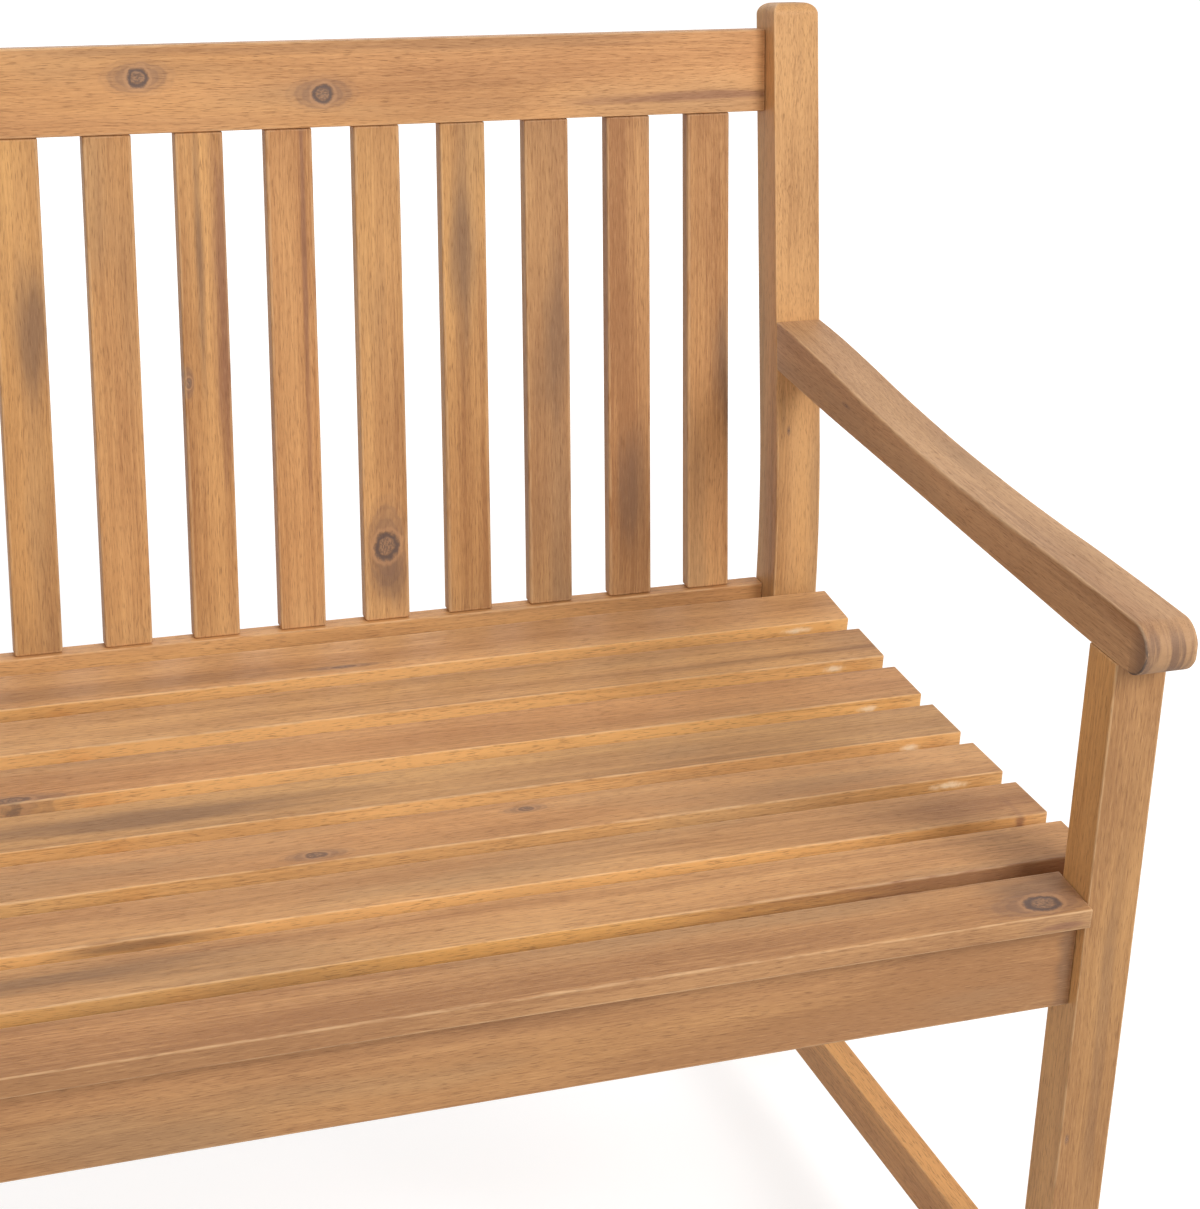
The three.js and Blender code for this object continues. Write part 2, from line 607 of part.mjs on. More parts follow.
sides.forEach(({ name, sign }) => {
  const startX = sideStart(sign, 0, LEG_WIDTH);
  const middleX = startX + LEG_WIDTH / 2;
  const wideX = startX - BEYOND;
  const wide = LEG_WIDTH + 2 * BEYOND;

  // Leg, post and arm blanks, cut to meet each other
  const legOutline = roundedSection(0, 0, LEG_WIDTH, LEG_DEPTH, LEG_ROUND);
  let leg = board(legOutline, ARM_NOSE_Z, placing(X_AXIS, Y_AXIS, vec(startX, 0, 0)), ARRIS);
  let post = sideBoard(postOutline(0), startX, LEG_WIDTH, ARRIS);
  let arm = sideBoard(armOutline(0), startX, LEG_WIDTH, ARRIS);
  leg = leg.subtract(sideBoard(armOutline(FIT), wideX, wide));
  arm = arm.subtract(sideBoard(postOutline(FIT), wideX, wide));
  post = post.subtract(capCutter(startX, -1)).subtract(capCutter(startX + LEG_WIDTH, 1));

  // Leg into the arm, and arm into the post
  const legJoint = tenonAndMortise(
    vec(middleX - LEG_TENON.width / 2, (LEG_DEPTH - LEG_TENON.depth) / 2, ARM_UNDER_Z - LEG_TENON.length),
    vec(middleX + LEG_TENON.width / 2, (LEG_DEPTH + LEG_TENON.depth) / 2, ARM_UNDER_Z + LEG_TENON.length),
  );
  leg = leg.add(legJoint.tenon);
  arm = arm.subtract(legJoint.mortise);
  const armSeatY = postFrontAt(ARM_END_Z);
  const armJoint = tenonAndMortise(
    vec(middleX - ARM_TENON.width / 2, armSeatY - ARM_TENON.length, ARM_END_Z - ARM_TENON.height / 2),
    vec(middleX + ARM_TENON.width / 2, armSeatY + ARM_TENON.length, ARM_END_Z + ARM_TENON.height / 2),
  );
  arm = arm.add(armJoint.tenon);
  post = post.subtract(armJoint.mortise);

  // Side rail of the seat, and the lower stretcher
  const fromY = LEG_DEPTH + FIT;
  const toY = POST_FRONT_Y - FIT;
  const railX = sideStart(sign, SEAT_RAIL_INSET, SEAT_RAIL_THICKNESS);
  const railOutline = underSeatOutline(fromY, toY, SEAT_RAIL_BOTTOM_Z, seatSlats.slice(1));
  let seatRail = sideBoard(railOutline, railX, SEAT_RAIL_THICKNESS);
  const barX = sideStart(sign, STRETCHER_INSET, STRETCHER_THICKNESS);
  const barLow = STRETCHER_TOP_Z - STRETCHER_HEIGHT;
  const barSection = roundedSection(barX, barLow, barX + STRETCHER_THICKNESS, STRETCHER_TOP_Z, RAIL_ROUND);
  let stretcher = board(
    barSection.map(({ x, y }) => new THREE.Vector2(y, x)).reverse(),
    toY - fromY,
    placing(Z_AXIS, X_AXIS, vec(0, fromY, 0)),
  );
  const railMiddleX = railX + SEAT_RAIL_THICKNESS / 2;
  const barMiddleX = barX + STRETCHER_THICKNESS / 2;
  const seatTenonLow = SEAT_RAIL_BOTTOM_Z + SEAT_TENON.rise;
  const barTenonLow = barLow + (STRETCHER_HEIGHT - STRETCHER_TENON.height) / 2;
  [
    { faceY: LEG_DEPTH, into: -1 },
    { faceY: POST_FRONT_Y, into: 1 },
  ].forEach(({ faceY, into }) => {
    const reach = (length) => {
      const ends = [faceY - into * 2 * FIT, faceY + into * length];
      return [Math.min(...ends), Math.max(...ends)];
    };
    const [seatFrom, seatTo] = reach(SEAT_TENON.length);
    const seatJoint = tenonAndMortise(
      vec(railMiddleX - SEAT_TENON.width / 2, seatFrom, seatTenonLow),
      vec(railMiddleX + SEAT_TENON.width / 2, seatTo, seatTenonLow + SEAT_TENON.height),
    );
    const [barFrom, barTo] = reach(STRETCHER_TENON.length);
    const barJoint = tenonAndMortise(
      vec(barMiddleX - STRETCHER_TENON.width / 2, barFrom, barTenonLow),
      vec(barMiddleX + STRETCHER_TENON.width / 2, barTo, barTenonLow + STRETCHER_TENON.height),
    );
    seatRail = seatRail.add(seatJoint.tenon);
    stretcher = stretcher.add(barJoint.tenon);
    if (into < 0) leg = leg.subtract(seatJoint.mortise).subtract(barJoint.mortise);
    else post = post.subtract(seatJoint.mortise).subtract(barJoint.mortise);
  });

  // Long rails into the legs and posts
  const reachX = [sign * (INNER_X - 2 * FIT), sign * (INNER_X + RAIL_TENON_LENGTH)];
  const lowX = Math.min(...reachX);
  const highX = Math.max(...reachX);
  const apronTenonY = APRON_FRONT_Y + APRON_TENON.inset;
  const apronTenonLow = APRON_BOTTOM_Z + APRON_TENON.rise;
  const apronJoint = tenonAndMortise(
    vec(lowX, apronTenonY, apronTenonLow),
    vec(highX, apronTenonY + APRON_TENON.depth, apronTenonLow + APRON_TENON.height),
  );
  apron = apron.add(apronJoint.tenon);
  leg = leg.subtract(apronJoint.mortise);
  const bottomTenonY = BOTTOM_RAIL_FRONT_Y + (BOTTOM_RAIL_THICKNESS - BOTTOM_TENON.depth) / 2;
  const bottomTenonLow = BOTTOM_RAIL_BOTTOM_Z + (BOTTOM_RAIL_HEIGHT - BOTTOM_TENON.height) / 2;
  const bottomJoint = tenonAndMortise(
    vec(lowX, bottomTenonY, bottomTenonLow),
    vec(highX, bottomTenonY + BOTTOM_TENON.depth, bottomTenonLow + BOTTOM_TENON.height),
  );
  bottomRail = bottomRail.add(bottomJoint.tenon);
  post = post.subtract(bottomJoint.mortise);
  const topTenonIn = (TOP_RAIL_THICKNESS - TOP_TENON.depth) / 2;
  const topTenonUp = (TOP_RAIL_HEIGHT - TOP_TENON.height) / 2;
  const topJoint = tenonAndMortise(
    vec(lowX, topTenonIn, topTenonUp),
    vec(highX, topTenonIn + TOP_TENON.depth, topTenonUp + TOP_TENON.height),
    X_AXIS,
    backIn,
    topRailCorner,
  );
  topRail = topRail.add(topJoint.tenon);
  post = post.subtract(topJoint.mortise);

  // Bolts along those tenons
  const outerX = sign * OUTER_X;
  APRON_BOLT_SHARES.forEach((heightShare, i) => {
    const y = apronTenonY + APRON_TENON.depth / 2;
    const z = apronTenonLow + APRON_TENON.height * heightShare;
    const { bolt, bore } = boltAndBore(vec(outerX, y, z), sign);
    leg = leg.subtract(bore);
    apron = apron.subtract(bore);
    addPiece("apron_bolt_" + name + "_" + (i + 1), bolt, "steel");
  });
  const bottomMiddle = vec(
    outerX,
    BOTTOM_RAIL_FRONT_Y + BOTTOM_RAIL_THICKNESS / 2,
    BOTTOM_RAIL_TOP_Z - BOTTOM_RAIL_HEIGHT / 2,
  );
  const bottomBolt = boltAndBore(bottomMiddle, sign);
  post = post.subtract(bottomBolt.bore);
  bottomRail = bottomRail.subtract(bottomBolt.bore);
  addPiece("bottom_rail_bolt_" + name, bottomBolt.bolt, "steel");
  const topMiddle = topRailCorner.clone().addScaledVector(backIn, TOP_RAIL_THICKNESS / 2);
  topMiddle.addScaledVector(backUp, TOP_RAIL_HEIGHT / 2).setX(outerX);
  const topBolt = boltAndBore(topMiddle, sign);
  post = post.subtract(topBolt.bore);
  topRail = topRail.subtract(topBolt.bore);
  addPiece("top_rail_bolt_" + name, topBolt.bolt, "steel");

  addPiece("front_leg_" + name, leg, "leg");
  addPiece("rear_post_" + name, post, "post");
  addPiece("armrest_" + name, arm, "arm");
  addPiece("seat_side_rail_" + name, seatRail, "under");
  addPiece("side_stretcher_" + name, stretcher, "under");
});

addPiece("front_apron", apron, "rail");
addPiece("back_rail_bottom", bottomRail, "rail");
addPiece("back_rail_top", topRail, "rail");

// The origin lies on the floor under the middle of the whole
const outline = new THREE.Box3().setFromObject(frame);
frame.position.y = -(outline.min.y + outline.max.y) / 2;

export default bench;
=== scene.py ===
import math

import bpy
import numpy as np
from mathutils import Matrix, Vector


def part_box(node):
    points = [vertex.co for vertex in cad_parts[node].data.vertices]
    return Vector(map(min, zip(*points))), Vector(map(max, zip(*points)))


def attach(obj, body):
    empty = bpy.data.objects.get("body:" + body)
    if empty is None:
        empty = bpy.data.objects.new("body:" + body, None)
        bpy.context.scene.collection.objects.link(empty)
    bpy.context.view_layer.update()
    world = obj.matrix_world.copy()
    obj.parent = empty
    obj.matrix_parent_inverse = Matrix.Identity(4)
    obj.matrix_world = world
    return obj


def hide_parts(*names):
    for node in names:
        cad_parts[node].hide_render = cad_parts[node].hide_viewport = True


# A slatted garden bench in oiled hardwood. Sizes are in millimetres as a maker would set it out, with
# x 0 at its middle, y 0 at the front of the front legs and z 0 on the floor. They become metres on
# the floor only when a mesh is made.

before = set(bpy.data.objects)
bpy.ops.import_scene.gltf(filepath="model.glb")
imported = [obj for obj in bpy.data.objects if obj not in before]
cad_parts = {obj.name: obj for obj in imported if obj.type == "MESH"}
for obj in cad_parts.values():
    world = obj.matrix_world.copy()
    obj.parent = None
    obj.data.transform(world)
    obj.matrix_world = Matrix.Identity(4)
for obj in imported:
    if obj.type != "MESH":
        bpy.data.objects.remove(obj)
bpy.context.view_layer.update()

FRONT_OF_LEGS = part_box("front_leg_right")[0][1] * 1000
FIT = 0.3  # the gap where one piece meets another

SLAT_COUNT = 17
SLAT_PITCH = 66.5
SLAT_WIDTH = 35
SLAT_THICK = 12
SLAT_SET_BACK = 3.4
INNER_X = 578.5
OUTER_X = 616
LEG_WIDTH = 37.5
LEG_DEPTH = 35

POST = {"y": 521, "foot": 37.5, "head": 35, "bend_z": 397, "radius": 850, "top": 890.9, "round": 9}
POST_LEAN = math.radians(10.7)
TOP_RAIL = {"set_back": 18.7, "z": 805.8, "height": 63, "thick": 17}
BOTTOM_RAIL = {"y": 543.9, "top": 429.4, "height": 60, "thick": 14.5}
APRON = {"y": 9, "thick": 20, "bottom": 347.7}
BEARER = {"thick": 22, "bottom": 368, "drop_from": 6, "drop_slope": 3.2}
STRETCHER = {"inset": 3, "thick": 19, "top": 99.8, "height": 35}

SEAT_WIDTH = 47.5
SEAT_THICK = 14
SEAT_FIRST_Y = 15.8
SEAT_LAST_GAP = 39.2
SEAT_LOW_Z = 425.8
SEAT_DISH = 7.1
SEAT_RISES = [0.507, 0.535, 0.141, 0.014, 0, 0.113, 0.507, 1]
SEAT_TIPS = [4.1, 0.6, 0.2, 0.2, 0.8, 2.0, 3.2, 5.2]

ARM_NOSE_Y = -32
ARM_TOP_Z = 634
ARM_UNDER_Z = 598.6
ARM_TOP_RISE = 14.7
ARM_UNDER_RISE = 13.2
# The arm's edges as shares of its length from the front of the leg and of its rise
ARM_TOP_SHARES = [(0.07, 0), (0.176, -0.044), (0.25, -0.119), (0.352, -0.16), (0.445, -0.119),
                  (0.528, -0.044), (0.615, 0.112), (0.707, 0.337), (0.802, 0.636), (0.9, 0.888),
                  (1, 1)]
ARM_UNDER_SHARES = [(0.053, 0), (0.12, 0.03), (0.19, 0.09), (0.352, 0.22), (0.51, 0.394),
                    (0.7, 0.576), (0.8, 0.68), (0.914, 0.867), (1, 1)]

# Arrises in millimetres: hardly eased on the seat and the legs, softer where hands and backs rest
CRISP = 0.9
SOFT = 1.4
ARRIS_WANDER = 0.22  # the share by which an arris's radius comes and goes along its board
ROUND_FROM = 4  # an end that draws in by this much is a round, and by less an eased edge
END_WEAR_AND_HIGHLIGHT = 0.6  # how rubbed an eased end is, with its painted highlight, where an arris is 1
MOST_ARRIS = 0.49  # the largest share of a board's lesser side that an arris takes

X = np.array([1.0, 0, 0])
Y = np.array([0, 1.0, 0])
Z = np.array([0, 0, 1.0])


def post_front(z):
    """y of the post's front face at a height: straight, then one arc, then straight at the lean."""
    z = np.asarray(z, float)
    rise = np.clip(z - POST["bend_z"], 0, POST["radius"] * math.sin(POST_LEAN))
    arc = POST["radius"] - np.sqrt(POST["radius"] ** 2 - rise ** 2)
    above = np.clip(z - POST["bend_z"] - POST["radius"] * math.sin(POST_LEAN), 0, None)
    return POST["y"] + arc + above * math.tan(POST_LEAN)


TOP_RAIL_Y = float(post_front(TOP_RAIL["z"])) + TOP_RAIL["set_back"]
BACK_LEAN = math.atan2(TOP_RAIL_Y - BOTTOM_RAIL["y"], TOP_RAIL["z"] - BOTTOM_RAIL["top"])
BACK_UP = np.array([0, math.sin(BACK_LEAN), math.cos(BACK_LEAN)])
BACK_IN = np.array([0, math.cos(BACK_LEAN), -math.sin(BACK_LEAN)])


def on_floor(points):
    """Bench millimetres to metres on the floor, with the outline's middle over the origin."""
    return (np.asarray(points, float) + Y * FRONT_OF_LEGS) * 0.001


def put_in_scene(name, data):
    made = bpy.data.objects.new(name, data)
    bpy.context.scene.collection.objects.link(made)
    return made


# Boards

def unit(v):
    v = np.asarray(v, float)
    return v / np.linalg.norm(v)


def resampled(line, count):
    """The same line with count points evenly spaced by the numbers of its own points."""
    line = np.asarray(line, float)
    t = np.linspace(0, 1, len(line))
    s = np.linspace(0, 1, count)
    return np.stack([np.interp(s, t, line[:, i]) for i in range(3)], 1)


def section(width, depth, radius):
    """A closed rounded rectangle as (first axis, second axis, wear and painted highlight): quarter
    circles at the corners, radius times (1 - sin t, 1 - cos t), with a point just beside each, so
    that the flats stay flat when shaded. width, depth and radius are arrays along the board, with one
    section for each."""
    turns = np.linspace(0, math.pi / 2, 5)
    beside = 0.7
    ring = []
    corners = [(0, 0), (1, 0), (1, 1), (0, 1)]
    for i, (a, b) in enumerate(corners):
        steps = [(1 + beside, 0, 0.0)]
        steps += [(1 - math.sin(t), 1 - math.cos(t), 1.0) for t in turns]
        steps += [(0, 1 + beside, 0.0)]
        if i % 2 == 0:
            steps = [(q, p, w) for p, q, w in steps]
        for p, q, w in steps:
            first = np.where(a, width - p * radius, p * radius)
            second = np.where(b, depth - q * radius, q * radius)
            ring.append(np.stack([first, second, np.full_like(width, w)], -1))
    return np.stack(ring, 1)


def board(name, edge_a, edge_b, side, rings=60, radius=SOFT, start=None, end=None, seed=0):
    """A board carried along two edges. At each station the section spans from edge a to edge b and
    over the side vector, with rounded arrises whose radius wanders a little by a sine of the length.
    Near an end the section draws in by R minus the root of R squared less (R minus d) squared at the
    distance d from the end, with one R from edge to edge and one R across the side, which gives eased
    ends and full round noses. The result is the object, its points in millimetres, how rubbed each
    point is together with the painted highlight on its arrises, and how much of a sawn end each point
    is."""
    a = resampled(edge_a, 400)
    b = resampled(edge_b, 400)
    side = np.asarray(side, float)
    ends = [start or (radius, radius), end or (radius, radius)]
    run = np.concatenate([[0], np.cumsum(np.linalg.norm(np.diff((a + b) / 2, axis=0), axis=1))])
    length = run[-1]

    def depths(pair):
        big = max(pair)
        count = 5 if big < ROUND_FROM else 14
        near = big * (1 - np.cos(np.linspace(0, math.pi / 2, count)))
        small = min(pair)
        if small < big * 0.9:
            near = np.union1d(near, small * (1 - np.cos(np.linspace(0, math.pi / 2, 5))))
        return np.append(near, big + 0.8)

    first, last = depths(ends[0]), depths(ends[1])
    middle = np.linspace(first[-1], length - last[-1], rings)[1:-1]
    stations = np.concatenate([first, middle, (length - last)[::-1]])
    on_a = np.stack([np.interp(stations, run, a[:, i]) for i in range(3)], 1)
    on_b = np.stack([np.interp(stations, run, b[:, i]) for i in range(3)], 1)

    def drawn(distance, reach):
        left = np.clip(reach - distance, 0, None)
        return reach - np.sqrt(np.clip(reach ** 2 - left ** 2, 0, None))

    inset_ab = drawn(stations, ends[0][0]) + drawn(length - stations, ends[1][0])
    inset_side = drawn(stations, ends[0][1]) + drawn(length - stations, ends[1][1])
    across = on_b - on_a
    full = np.linalg.norm(across, axis=1)
    across = across / full[:, None]
    thick = np.linalg.norm(side)
    out = side / thick
    inset_ab = np.minimum(inset_ab, full / 2 - 0.05)
    width = full - 2 * inset_ab
    depth = np.full_like(width, thick) - 2 * inset_side
    rng = np.random.default_rng(seed + 11)
    wander = 1 + ARRIS_WANDER * np.sin(stations / rng.uniform(60, 110) + rng.uniform(0, 6))
    eased = np.minimum(radius * wander, np.minimum(width, depth) * MOST_ARRIS)
    ring = section(width, depth, eased)
    points = (on_a + across * inset_ab[:, None] + out * inset_side[:, None])[:, None, :]
    points = points + across[:, None, :] * ring[..., 0:1] + out * ring[..., 1:2]
    # 1 on the arris arcs, for rubbed wear and a painted highlight
    wear = ring[..., 2].copy()
    if max(ends[0]) < ROUND_FROM:
        wear[: len(first) - 1] = np.maximum(wear[: len(first) - 1], END_WEAR_AND_HIGHLIGHT)
    if max(ends[1]) < ROUND_FROM:
        wear[1 - len(last):] = np.maximum(wear[1 - len(last):], END_WEAR_AND_HIGHLIGHT)
    rows, cols = wear.shape
    grid = np.arange(rows * cols).reshape(rows, cols)
    nxt = np.roll(grid, -1, axis=1)
    quads = np.stack([grid[:-1], nxt[:-1], nxt[1:], grid[1:]], -1).reshape(-1, 4)
    faces = [tuple(q) for q in quads.tolist()]
    faces += [tuple(grid[0][::-1].tolist()), tuple(grid[-1].tolist())]
    flat = points.reshape(-1, 3)
    corner = flat[quads]
    volume = np.einsum("ij,ij->i", corner[:, 0], np.cross(corner[:, 1], corner[:, 2])).sum()
    volume += np.einsum("ij,ij->i", corner[:, 0], np.cross(corner[:, 2], corner[:, 3])).sum()
    if volume < 0:  # the faces point inwards
        faces = [f[::-1] for f in faces]
    mesh = bpy.data.meshes.new(name)
    mesh.from_pydata(on_floor(flat).tolist(), [], faces)
    mesh.update()
    mesh.polygons.foreach_set("use_smooth", np.ones(len(mesh.polygons), bool))
    end_grain = np.zeros_like(wear)
    end_grain[[0, -1]] = 1
    return put_in_scene(name, mesh), flat, wear.ravel(), end_grain.ravel()


def add_float(mesh, name, values):
    layer = mesh.attributes.new(name, "FLOAT", "POINT")
    layer.data.foreach_set("value", np.asarray(values, np.float32))


def add_vector(mesh, name, values):
    layer = mesh.attributes.new(name, "FLOAT_VECTOR", "POINT")
    layer.data.foreach_set("vector", np.asarray(values, np.float32).ravel())


# How far off a mark lies on a board that hasn't got it, in sizes of the mark
FAR = 99.0


def grain_data(made, axes, centre, seed, pith=None, tone=0.0, red=0.0, grey=0.0, knots=(), stain=None,
               streak=None, pale=None, nose=None, scorch=None, front=None):
    """Gives a board its own place in a log: lengths along, across and through the board from the pith
    of the tree, in metres, and the same lengths from each knot, stain, streak and painted glint over
    their sizes. A knot is (place, radius, stretch along the grain, whether it is round in the along
    and across lengths, or else in along and through), and the other marks are (place, three sizes). A
    glint is a painted highlight, and a few stains and streaks are painted shade. The face where
    across is least, to 0.3 mm, may have a tone, red and grey of its own, which is painted light and
    shade on that face."""
    piece, points, wear, end_grain = made
    rng = np.random.default_rng(seed)
    along, across, through = [unit(v) for v in axes]
    basis = np.stack([along, across, through], 1)
    own = (points - np.asarray(centre, float)) @ basis
    if pith is None:
        turn = rng.uniform(0, 2 * math.pi)
        far = rng.uniform(60, 150)
        pith = (far * math.cos(turn), far * math.sin(turn))
    mesh = piece.data
    add_vector(mesh, "grain", (own - np.array([rng.uniform(-4000, 4000), pith[0], pith[1]])) * 0.001)
    tones = np.tile([tone, red, grey], (len(own), 1)).astype(float)
    # The front face's own tone is painted light and shade
    if front is not None:
        tones[own[:, 1] < own[:, 1].min() + 0.3] = front
    add_vector(mesh, "tone", tones)
    for index, label in enumerate(("knot_a", "knot_b")):
        value = np.tile([FAR, FAR, 0.0], (len(own), 1))
        if index < len(knots):
            at, radius, stretch, on_across = knots[index]
            off = (points - np.asarray(at, float)) @ basis
            value[:, 0] = off[:, 0] / (radius * stretch)
            value[:, 1] = off[:, 1 if on_across else 2] / radius
            value[:, 2] = radius * 0.001
        add_vector(mesh, label, value)
    for label, given in (("stain", stain), ("streak", streak), ("pale", pale)):
        value = np.full((len(own), 3), FAR)
        if given is not None:
            at, sizes = given
            value = (points - np.asarray(at, float)) @ basis / np.asarray(sizes, float)
        add_vector(mesh, label, value)
    add_float(mesh, "wear", wear)
    add_float(mesh, "end_grain", end_grain if nose is None else np.maximum(end_grain, nose))
    add_float(mesh, "scorch", np.zeros_like(wear) if scorch is None else scorch)


# Material graphs

class Graph:
    """A few short words for making shader nodes in one tree."""

    def __init__(self, tree):
        self.tree = tree

    def node(self, kind, inputs=None, **settings):
        made = self.tree.nodes.new(kind)
        for key, value in settings.items():
            setattr(made, key, value)
        for key, value in (inputs or {}).items():
            self.put(made.inputs[key], value)
        return made

    def put(self, socket, value):
        if isinstance(value, bpy.types.NodeSocket):
            self.tree.links.new(value, socket)
        else:
            socket.default_value = value

    def math(self, operation, a, b=0.0, c=0.0, clamp=False):
        return self.node("ShaderNodeMath", {0: a, 1: b, 2: c}, operation=operation,
                         use_clamp=clamp).outputs[0]

    def total(self, *terms):
        out = terms[0]
        for term in terms[1:]:
            out = self.math("ADD", out, term)
        return out

    def about(self, value, weight):
        return self.math("MULTIPLY", self.math("SUBTRACT", value, 0.5), weight)

    def vector(self, operation, a, b=(0, 0, 0)):
        made = self.node("ShaderNodeVectorMath", {0: a, 1: b}, operation=operation)
        return made.outputs["Value" if operation == "LENGTH" else "Vector"]

    def noise(self, vector, detail=2.0, rough=0.5, colour=False):
        made = self.node("ShaderNodeTexNoise", {"Vector": vector, "Scale": 1.0, "Detail": detail,
                                                "Roughness": rough})
        return made.outputs["Color" if colour else "Fac"]

    def line_noise(self, value, detail=2.0, rough=0.5):
        made = self.node("ShaderNodeTexNoise", {"Scale": 1.0, "Detail": detail, "Roughness": rough},
                         noise_dimensions="1D")
        self.put(made.inputs["W"], value)
        return made.outputs["Fac"]

    def span(self, value, low, high, to_low=0.0, to_high=1.0, smooth=True):
        made = self.node("ShaderNodeMapRange", {"Value": value, "From Min": low, "From Max": high,
                                                "To Min": to_low, "To Max": to_high})
        made.interpolation_type = "SMOOTHSTEP" if smooth else "LINEAR"
        return made.outputs["Result"]

    def hump(self, value, low, peak_low, peak_high, high):
        return self.math("MULTIPLY", self.span(value, low, peak_low),
                         self.span(value, high, peak_high))

    def mix(self, factor, a, b, blend="MIX"):
        made = self.node("ShaderNodeMix", data_type="RGBA", blend_type=blend, clamp_factor=True)
        self.put(made.inputs[0], factor)
        self.put(made.inputs[6], a)
        self.put(made.inputs[7], b)
        return made.outputs[2]

    def tint(self, colour, mask, weight, target, blend="MIX"):
        return self.mix(self.math("MULTIPLY", mask, weight), colour, rgb(*target), blend)

    def stretched(self, vector, along, across):
        return self.vector("MULTIPLY", vector, (along, across, across))


def rgb(r, g, b):
    return (r, g, b, 1.0)


VECTOR_LAYERS = (("Grain", "grain", (0, 0, 0)), ("Knot A", "knot_a", (FAR, FAR, 0)),
                 ("Knot B", "knot_b", (FAR, FAR, 0)), ("Stain", "stain", (FAR, FAR, FAR)),
                 ("Streak", "streak", (FAR, FAR, FAR)), ("Pale", "pale", (FAR, FAR, FAR)),
                 ("Tone", "tone", (0, 0, 0)))
FLOAT_LAYERS = (("Wear", "wear"), ("End Grain", "end_grain"), ("Scorch", "scorch"))


def hardwood_group():
    """Solid oiled hardwood. Growth rings are noise in the distance from the pith, bent by a slow
    wander and pushed aside round knots. Fibres and pores are noise drawn out along the grain."""
    tree = bpy.data.node_groups.new("oiled_hardwood", "ShaderNodeTree")
    face = tree.interface
    for label, _, default in VECTOR_LAYERS:
        face.new_socket(label, in_out="INPUT", socket_type="NodeSocketVector").default_value = default
    for label, _ in FLOAT_LAYERS:
        face.new_socket(label, in_out="INPUT", socket_type="NodeSocketFloat").default_value = 0.0
    for label in ("Light Wood", "Deep Wood"):
        face.new_socket(label, in_out="INPUT", socket_type="NodeSocketColor")
    face.new_socket("Color", in_out="OUTPUT", socket_type="NodeSocketColor")
    face.new_socket("Roughness", in_out="OUTPUT", socket_type="NodeSocketFloat")
    face.new_socket("Height", in_out="OUTPUT", socket_type="NodeSocketFloat")
    g = Graph(tree)
    given = g.node("NodeGroupInput").outputs
    grain = given["Grain"]

    # Knots first, because the rings bend round them. Each has its lengths from the middle over the
    # knot's size in X and Y, and its radius in metres in Z.
    ragged = g.noise(g.vector("MULTIPLY", grain, (170, 170, 170)), 3.0, 0.6)
    knot_push, knot_core, knot_rim, knot_glow, knot_ripple, knot_smoke = 0.0, 0.0, 0.0, 0.0, 0.0, 0.0
    for label in ("Knot A", "Knot B"):
        parts = g.node("ShaderNodeSeparateXYZ", {0: given[label]}).outputs
        flat = g.node("ShaderNodeCombineXYZ", {0: parts[0], 1: parts[1]}).outputs[0]
        away = g.math("ADD", g.vector("LENGTH", flat), g.about(ragged, 0.75))
        long = g.vector("LENGTH", g.vector("MULTIPLY", flat, (0.55, 1.0, 1.0)))
        long = g.math("ADD", long, g.about(ragged, 0.55))
        near = g.math("EXPONENT", g.math("MULTIPLY", g.math("MULTIPLY", away, away), -0.30))
        push = g.math("MULTIPLY", near, g.math("MULTIPLY", parts[2], 1.5))
        knot_push = g.math("ADD", knot_push, push)
        knot_core = g.math("MAXIMUM", knot_core, g.span(away, 0.80, 0.50))
        ring = g.math("MULTIPLY", g.hump(away, 0.55, 0.80, 0.90, 1.20),
                      g.span(parts[2], 0.002, 0.006, 0.45, 1.0))
        knot_rim = g.math("MAXIMUM", knot_rim, ring)
        knot_glow = g.math("MAXIMUM", knot_glow, g.hump(away, 1.05, 1.25, 1.30, 1.6))
        ripple = g.math("SINE", g.math("MULTIPLY", long, 13.0))
        ripple = g.math("MULTIPLY", g.span(ripple, -0.6, 1.0), g.hump(long, 0.9, 1.2, 1.3, 2.6))
        knot_ripple = g.math("MAXIMUM", knot_ripple, ripple)
        knot_smoke = g.math("MAXIMUM", knot_smoke, g.span(long, 2.3, 0.7))

    # The wander of the grain, then rings, fibres, pores and slow changes of depth
    slow = g.noise(g.stretched(grain, 2.4, 12.0), 2.0, 0.5, colour=True)
    slow = g.vector("MULTIPLY", g.vector("SUBTRACT", slow, (0.5, 0.5, 0.5)), (0.0, 0.016, 0.016))
    quick = g.noise(g.stretched(grain, 14.0, 60.0), 2.0, 0.5, colour=True)
    quick = g.vector("MULTIPLY", g.vector("SUBTRACT", quick, (0.5, 0.5, 0.5)), (0.0, 0.0022, 0.0022))
    bent = g.vector("ADD", g.vector("ADD", grain, slow), quick)
    radial = g.vector("LENGTH", g.vector("MULTIPLY", bent, (0, 1, 1)))
    radial = g.math("ADD", radial, knot_push)
    wide_rings = g.line_noise(g.math("MULTIPLY", radial, 62.0), 2.0, 0.55)
    fine_rings = g.line_noise(g.math("MULTIPLY", radial, 430.0), 2.0, 0.6)
    fibres = g.noise(g.stretched(bent, 5.0, 620.0), 3.0, 0.62)
    dashes = g.noise(g.stretched(bent, 105.0, 1900.0), 1.0, 0.5)
    specks = g.noise(g.stretched(grain, 420.0, 950.0), 2.0, 0.6)
    clouds = g.noise(g.stretched(grain, 5.0, 26.0), 2.0, 0.5)
    broad = g.noise(g.stretched(grain, 1.8, 14.0), 1.0, 0.5)
    dark_run = g.noise(g.stretched(bent, 1.1, 58.0), 3.0, 0.6)
    tone = g.node("ShaderNodeSeparateXYZ", {0: given["Tone"]}).outputs

